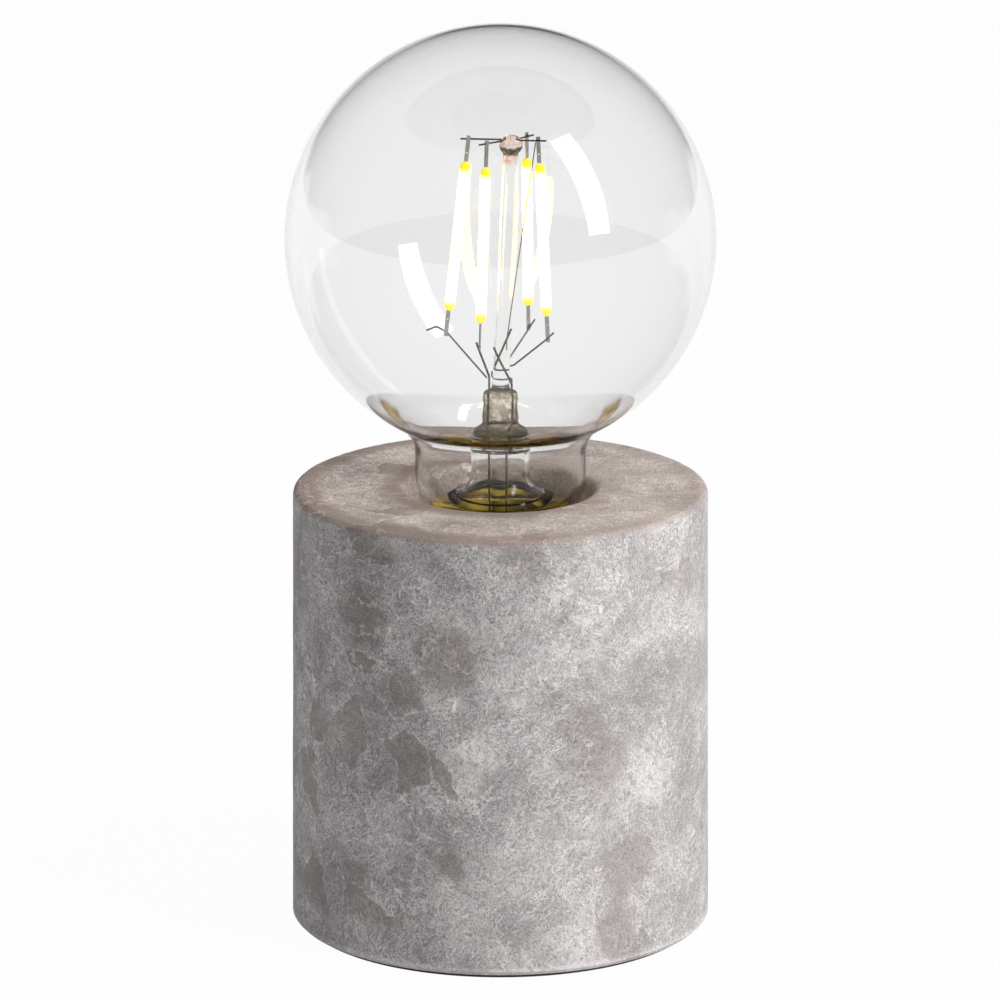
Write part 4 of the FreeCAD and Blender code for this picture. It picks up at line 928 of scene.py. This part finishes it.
COAT_RADIUS = 0.00112
END_SLICE = 0.0006
coat = filament_finish()
for side in ("left", "front", "rear", "right"):
    low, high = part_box("filament_" + side)
    verts = [v.co for v in nodes["filament_" + side].data.vertices]
    foot = mean([v for v in verts if v.z < low.z + END_SLICE])
    top = mean([v for v in verts if v.z > high.z - END_SLICE])
    line = (top - foot).normalized()
    length = (top - foot).length
    turn = Vector((0, 0, 1)).rotation_difference(line).to_matrix()
    shares = [0, 0.004, 0.012, 0.022] + [0.035 + 0.93 * k / 40 for k in range(41)] + [0.978, 0.988, 0.996, 1]
    rings = []
    for share in shares:
        end = min(share, 1 - share) * length
        bulge = min(1.0, 0.30 + 0.70 * math.sqrt(min(1.0, end / 0.0009)))
        rings.append((0, 0, share * length, COAT_RADIUS * bulge, COAT_RADIUS * bulge))
    rings = [(0, 0, 0, 0, 0)] + rings + [(0, 0, length, 0, 0)]
    strip = skin("light_filament_" + side, rings, 24, place=lambda p: foot + turn @ p, sharp=60.0)
    values = [(v.co - foot).dot(line) / length for v in strip.data.vertices]
    strip.data.attributes.new("along", "FLOAT", "POINT").data.foreach_set("value", values)
    settle(strip, "bulb", "filament_coat", coat, "filament_" + side)


# %% [markdown]
# ## Metals, black resin, porcelain and the rest
#
# Small solids keep their CAD shape and get a finish each. Metal is never even: brass is
# rubbed and darker in its hollows, zinc is cloudy, and the thin nickel wires are brown
# where the flame of the glass works has reached them.


# %% Small finishes
def metal_finish(name, dark, light, roughness, scale, metallic=1.0):
    f = Finish(name)
    cloud = f.grain(scale, 4.0, 0.6)
    fine = f.grain(scale * 9, 2.0, 0.5)
    return f.show(f.principled(
        Base_Color=f.blend(cloud, dark, light), Metallic=metallic,
        Roughness=roughness + (fine - 0.5) * 0.16, Normal=f.bump(fine, 0.12, 0.0001),
    ))


def matt_finish(name, dark, light, roughness, scale, depth=0.0001, specular=0.4):
    f = Finish(name)
    cloud = f.grain(scale, 4.0, 0.6)
    fine = f.grain(scale * 8, 3.0, 0.6)
    return f.show(f.principled(
        Base_Color=f.blend(cloud * 0.7 + fine * 0.3, dark, light), Specular_IOR_Level=specular,
        Roughness=roughness + (fine - 0.5) * 0.14, Normal=f.bump(fine, 0.3, depth),
    ))


FINISHES = {
    "foam_pad": matt_finish("dark foam", (0.05, 0.048, 0.046), (0.12, 0.115, 0.11), 0.9, 600.0, 0.0003),
    "black_rubber": matt_finish("black rubber", (0.018, 0.018, 0.018), (0.035, 0.034, 0.033), 0.55, 300.0),
    "zinc_steel": metal_finish("zinc plate", (0.50, 0.50, 0.49), (0.74, 0.74, 0.73), 0.34, 240.0),
    "holder_brass": metal_finish(
        "turned holder brass", (0.62, 0.42, 0.02), (0.92, 0.68, 0.08), 0.42, 210.0, 0.45),
    "porcelain": matt_finish("plain porcelain", (0.80, 0.78, 0.72), (0.90, 0.89, 0.86), 0.45, 260.0),
    "socket_brass": metal_finish("pressed brass", (0.62, 0.42, 0.13), (0.84, 0.64, 0.28), 0.30, 260.0),
    "cap_brass": metal_finish("golden cap brass", (0.62, 0.44, 0.05), (0.95, 0.76, 0.20), 0.24, 300.0),
    "black_glass": matt_finish("black glass", (0.006, 0.006, 0.008), (0.014, 0.013, 0.015), 0.12, 200.0),
    "cement": matt_finish(
        "amber capping cement", (0.46, 0.32, 0.02), (0.80, 0.60, 0.08), 0.50, 500.0, 0.0003),
    "green_board": matt_finish("green board", (0.02, 0.13, 0.05), (0.05, 0.24, 0.10), 0.5, 380.0),
    "capacitor_sleeve": matt_finish("dark sleeve", (0.02, 0.025, 0.05), (0.05, 0.06, 0.11), 0.3, 300.0),
    "black_chip": matt_finish("black chip resin", (0.015, 0.015, 0.015), (0.04, 0.04, 0.04), 0.6, 700.0),
    "dark_wire": metal_finish("flamed nickel wire", (0.06, 0.045, 0.035), (0.30, 0.24, 0.19), 0.36, 420.0),
    "tab_steel": metal_finish("thin steel strip", (0.22, 0.20, 0.18), (0.55, 0.52, 0.48), 0.32, 500.0),
}
print("finishes:", len(FINISHES))

# %% [markdown]
# ## Threads, ribs and screws
#
# What follows a rule is left to two patterns in Geometry Nodes. The first pushes a smooth
# sleeve in along a helix, which rolls a right-hand thread into it: a point's phase is its
# height over the pitch, less its turn round the axis. The cap and the socket share one
# phase, so their threads mesh in every pose. The second copies a piece, with a turn and a
# step from each copy to the next, for ribs in a ring and for pairs of screws.


# %% Patterns
class Pattern(Tree):
    """A Geometry Nodes tree with named inputs."""

    def __init__(self, name, **inputs):
        super().__init__(bpy.data.node_groups.new(name, "GeometryNodeTree"))
        self.keys = {}
        for label, kind in {"Geometry": "Geometry", **inputs, "Material": "Material"}.items():
            made = self.tree.interface.new_socket(label, in_out="INPUT", socket_type="NodeSocket" + kind)
            self.keys[label] = made.identifier
        self.tree.interface.new_socket("Geometry", in_out="OUTPUT", socket_type="NodeSocketGeometry")
        self.given = self.node("NodeGroupInput")

    def end(self, shape):
        whole = self.node("GeometryNodeRealizeInstances", None, {"Geometry": shape})["Geometry"]
        dressed = self.node("GeometryNodeSetMaterial", None, {
            "Geometry": whole, "Material": self.given["Material"]})["Geometry"]
        self.node("NodeGroupOutput", None, {"Geometry": dressed})
        return self

    def run(self, piece, **values):
        """Runs the pattern on a piece and keeps the result as a plain mesh."""
        step = piece.modifiers.new(self.tree.name, "NODES")
        step.node_group = self.tree
        for label, value in values.items():
            step[self.keys[label]] = value
        now = bpy.context.evaluated_depsgraph_get()
        result = bpy.data.meshes.new_from_object(piece.evaluated_get(now), depsgraph=now)
        piece.modifiers.clear()
        piece.data = result
        return piece


def rolled_thread():
    p = Pattern("rolled thread", Pitch="Float", Depth="Float", Foot="Float", Top="Float", Fade="Float",
                Inside="Float")
    given = p.given
    parts = p.node("ShaderNodeSeparateXYZ", None, {"Vector": p.node("GeometryNodeInputPosition")["Position"]})
    height = parts["Z"]
    reach = (parts["X"] * parts["X"] + parts["Y"] * parts["Y"]).power(0.5)
    turn = height.math("ARCTAN2", parts["Y"], parts["X"])
    phase = height / given["Pitch"] * (2 * math.pi) - turn
    wave = 0.5 - phase.cosine() * 0.5
    start = p.node("ShaderNodeMapRange", {"interpolation_type": "SMOOTHSTEP"}, {
        "Value": height, "From Min": given["Foot"], "From Max": given["Foot"] + given["Fade"]})["Result"]
    stop = p.node("ShaderNodeMapRange", {"interpolation_type": "SMOOTHSTEP"}, {
        "Value": height, "From Min": given["Top"], "From Max": given["Top"] - given["Fade"]})["Result"]
    outer = height.math("GREATER_THAN", reach, given["Inside"])
    push = wave * start * stop * outer * given["Depth"] / reach
    offset = p.node("ShaderNodeCombineXYZ", None, {
        "X": 0 - parts["X"] * push, "Y": 0 - parts["Y"] * push})["Vector"]
    return p.end(p.node("GeometryNodeSetPosition", None, {
        "Geometry": given["Geometry"], "Offset": offset})["Geometry"])


def copies():
    p = Pattern("copies", Count="Int", Turn="Float", Step="Vector")
    spots = p.node("GeometryNodeMeshLine", {"mode": "OFFSET"}, {
        "Count": p.given["Count"], "Offset": p.given["Step"]})["Mesh"]
    index = p.node("GeometryNodeInputIndex")["Index"]
    facing = p.node("ShaderNodeCombineXYZ", None, {"Z": index * p.given["Turn"]})["Vector"]
    return p.end(p.node("GeometryNodeInstanceOnPoints", None, {
        "Points": spots, "Instance": p.given["Geometry"], "Rotation": facing})["Instances"])


thread = rolled_thread()
copied = copies()

# %% Screw cap and screw socket
PITCH = 0.003629
THREAD_DEPTH = 0.0009
THREAD_STEPS = 144
CAP_FLOOR = 0.0712
CAP_RIM = 0.0926
cap_outline = softened([
    (0.0096, CAP_FLOOR - 0.0004, 0), (0.0130, CAP_FLOOR - 0.0004, 0.0018),
    (0.0130, CAP_RIM - 0.0070, 0.0004), (0.0133, CAP_RIM - 0.0067, 0.0002),
    (0.0133, CAP_RIM - 0.0012, 0.0008), (0.0139, CAP_RIM, 0.0001),
    (0.0135, CAP_RIM, 0.0001), (0.0129, CAP_RIM - 0.0012, 0.0008),
    (0.0129, CAP_RIM - 0.0067, 0.0002), (0.0126, CAP_RIM - 0.0070, 0.0004),
    (0.0126, CAP_FLOOR, 0.0014), (0.0096, CAP_FLOOR, 0),
])
cap = thread.run(
    turned("rolled_cap", dense(cap_outline, 0.0003), THREAD_STEPS), Pitch=PITCH, Depth=THREAD_DEPTH,
    Foot=CAP_FLOOR - 0.0004, Top=CAP_RIM - 0.0071, Fade=0.0007, Inside=0.0098, Material=FINISHES["cap_brass"])
settle(cap, "bulb", "cap_brass", FINISHES["cap_brass"], "cap_shell")

INSERT_TOP = 0.063
SOCKET_SHEET = 0.0005
socket_outline = softened([
    (0.0133, INSERT_TOP, 0.0002), (0.0162, INSERT_TOP, 0), (0.0162, INSERT_TOP + SOCKET_SHEET, 0),
    (0.0138, INSERT_TOP + SOCKET_SHEET, 0.0003), (0.0138, INSERT_TOP + 0.0200, 0.0001),
    (0.0133, INSERT_TOP + 0.0200, 0.0001),
])
socket = thread.run(
    turned("rolled_socket", dense(socket_outline, 0.0003), THREAD_STEPS), Pitch=PITCH, Depth=THREAD_DEPTH,
    Foot=INSERT_TOP + 0.0010, Top=INSERT_TOP + 0.0196, Fade=0.0012, Inside=0.0,
    Material=FINISHES["socket_brass"])
settle(socket, "base", "socket_brass", FINISHES["socket_brass"], "screw_socket")


# %% Socket's lug and the screws
def plate(name, low, high, edge):
    """A flat plate between two corners, its edges broken."""
    mesh = bmesh.new()
    bmesh.ops.create_cube(mesh, size=1.0)
    middle = (Vector(low) + Vector(high)) / 2
    size = Vector(high) - Vector(low)
    for vert in mesh.verts:
        vert.co = Vector([m + s * c for m, s, c in zip(middle, size, vert.co)])
    bmesh.ops.bevel(mesh, geom=mesh.edges[:], offset=edge, segments=2, affect="EDGES", clamp_overlap=True)
    return piece_from(mesh, name, 50.0)


SCREW_X = 0.0085
lug = plate("socket_lug", (-0.01355, -0.003, INSERT_TOP), (-0.0062, 0.003, INSERT_TOP + SOCKET_SHEET), 0.0001)
lug = carved(lug, placed(drill(0.00135, 0.06, 0.07), lambda p: p - Vector((SCREW_X, 0, 0))))
settle(lug, "base", "socket_brass", FINISHES["socket_brass"])

SEAT = INSERT_TOP + SOCKET_SHEET
SHANK_FOOT = 0.05025
contact_screw = turned("contact_screw", dense(
    [(0, SHANK_FOOT), (0.0010, SHANK_FOOT), (0.0013, SHANK_FOOT + 0.0003), (0.0013, SEAT), (0.0022, SEAT),
     (0.0023, SEAT + 0.0001), (0.0023, SEAT + 0.0009)]
    + arc_points((0.0017, SEAT + 0.0009), 0.0006, 10, 90, 5)
    + [(0, SEAT + 0.0015)], 0.00012, closed=False), 40, closed=False)
contact_screw = thread.run(
    contact_screw, Pitch=0.0005, Depth=0.0002, Foot=SHANK_FOOT, Top=SEAT - 0.001, Fade=0.0004, Inside=0.0005,
    Material=FINISHES["zinc_steel"])
contact_screw = carved(contact_screw, plate(
    "slot", (-0.003, -0.00025, SEAT + 0.0009), (0.003, 0.00025, SEAT + 0.003), 0.00002))
placed(contact_screw, lambda p: p + Vector((SCREW_X, 0, 0)))
copied.run(contact_screw, Count=2, Turn=math.pi, Step=(0.0, 0.0, 0.0), Material=FINISHES["zinc_steel"])
settle(contact_screw, "base", "zinc_steel", FINISHES["zinc_steel"], "contact_screws")

CLAMP_HEIGHT = 0.0492
CLAMP_TIP = SCREW_X + 0.0013
clamp_screw = turned("clamp_screw", dense(
    [(0, 0), (0.0010, 0), (0.0014, 0.0003), (0.0014, 0.00185), (0.0013, 0.00195), (0, 0.00195)], 0.00012,
    closed=False), 40, closed=False)
clamp_screw = thread.run(
    clamp_screw, Pitch=0.0005, Depth=0.00015, Foot=0.0, Top=0.0016, Fade=0.0003, Inside=0.0008,
    Material=FINISHES["zinc_steel"])
clamp_screw = carved(clamp_screw, plate("slot", (-0.002, -0.0002, 0.0012), (0.002, 0.0002, 0.003), 0.00002))
placed(clamp_screw, lambda p: Vector((CLAMP_TIP + p.z, p.y, CLAMP_HEIGHT - p.x)))
copied.run(clamp_screw, Count=2, Turn=math.pi, Step=(0.0, 0.0, 0.0), Material=FINISHES["zinc_steel"])
settle(clamp_screw, "base", "zinc_steel", FINISHES["zinc_steel"], "terminal_screws")

# %% Holder's shell with its turned grooves and knurl
SHELL_FOOT = 0.053
SHELL_TOP = 0.091
HOLDER_RADIUS = 0.0195
KNURL_FOOT = SHELL_FOOT + 0.0015
KNURL_TOP = KNURL_FOOT + 0.0055
GROOVES = (0.0820, 0.0835, 0.0850)
GROOVE_DEPTH = 0.00035
shell_corners = [
    (0.0182, SHELL_FOOT, 0), (HOLDER_RADIUS, SHELL_FOOT, 0.0003),
    (HOLDER_RADIUS, KNURL_FOOT, 0.0001), (HOLDER_RADIUS - 0.0005, KNURL_FOOT + 0.0002, 0.0001),
    (HOLDER_RADIUS - 0.0005, KNURL_TOP - 0.0002, 0.0001), (HOLDER_RADIUS, KNURL_TOP, 0.0001),
]
for groove in GROOVES:
    shell_corners += [
        (HOLDER_RADIUS, groove - 0.00035, 0.0001), (HOLDER_RADIUS - GROOVE_DEPTH, groove - 0.00015, 0.00005),
        (HOLDER_RADIUS - GROOVE_DEPTH, groove + 0.00015, 0.00005), (HOLDER_RADIUS, groove + 0.00035, 0.0001),
    ]
shell_corners += [
    (HOLDER_RADIUS, SHELL_TOP, 0.0005), (0.0160, SHELL_TOP, 0.0005), (0.0160, SHELL_TOP - 0.0016, 0),
    (0.0170, SHELL_TOP - 0.0016, 0), (0.0170, 0.0610, 0), (0.0182, 0.0610, 0),
]
shell = turned("turned_shell", dense(softened(shell_corners), 0.0012), 192)
settle(shell, "base", "holder_brass", FINISHES["holder_brass"], "holder_shell")

rib_rings = [(HOLDER_RADIUS - 0.00042, 0, z, wide, wide * 1.2) for z, wide in (
    (KNURL_FOOT + 0.0003, 0), (KNURL_FOOT + 0.0003, 0.0002), (KNURL_FOOT + 0.0006, 0.0004),
    (KNURL_TOP - 0.0006, 0.0004), (KNURL_TOP - 0.0003, 0.0002), (KNURL_TOP - 0.0003, 0))]
knurl = skin("shell_knurl", rib_rings, 10, sharp=60.0)
KNURL_RIBS = 120
copied.run(knurl, Count=KNURL_RIBS, Turn=2 * math.pi / KNURL_RIBS, Step=(0.0, 0.0, 0.0),
           Material=FINISHES["holder_brass"])
settle(knurl, "base", "holder_brass", FINISHES["holder_brass"])

# %% Nipple and cable grommet
NIPPLE_FOOT = 0.0205
NIPPLE_TOP = 0.0420
nipple_outline = softened([
    (0.0036, NIPPLE_FOOT, 0.0002), (0.0050, NIPPLE_FOOT, 0.0003),
    (0.0050, NIPPLE_TOP, 0.0003), (0.0036, NIPPLE_TOP, 0.0002)])
nipple = thread.run(
    turned("rolled_nipple", dense(nipple_outline, 0.00016), 64), Pitch=0.001, Depth=0.0005,
    Foot=NIPPLE_FOOT, Top=NIPPLE_TOP, Fade=0.0008, Inside=0.0043, Material=FINISHES["zinc_steel"])
settle(nipple, "base", "zinc_steel", FINISHES["zinc_steel"], "threaded_nipple")

grommet_outline = softened([
    (0.00325, SEAT_Y - 0.0130, 0.0004), (0.00475, SEAT_Y - 0.0130, 0.0004), (0.00475, SEAT_Y, 0),
    (0.0066, SEAT_Y, 0.0002), (0.0066, SEAT_Y + 0.0018, 0.0006), (0.00325, SEAT_Y + 0.0018, 0.0006)])
grommet = placed(turned("rubber_grommet", dense(grommet_outline, 0.0012), 96), backwards)
settle(grommet, "base", "black_rubber", FINISHES["black_rubber"], "cable_grommet")

# %% Finishes of the solids that keep their CAD shape
kept = [row for row in frame["record"]["subparts"] if not nodes[row["node"]].hide_render]
for row in kept:
    node = nodes[row["node"]]
    node.data.materials.clear()
    node.data.materials.append(FINISHES[row["material_slot"]])
print("solids kept:", len(kept))
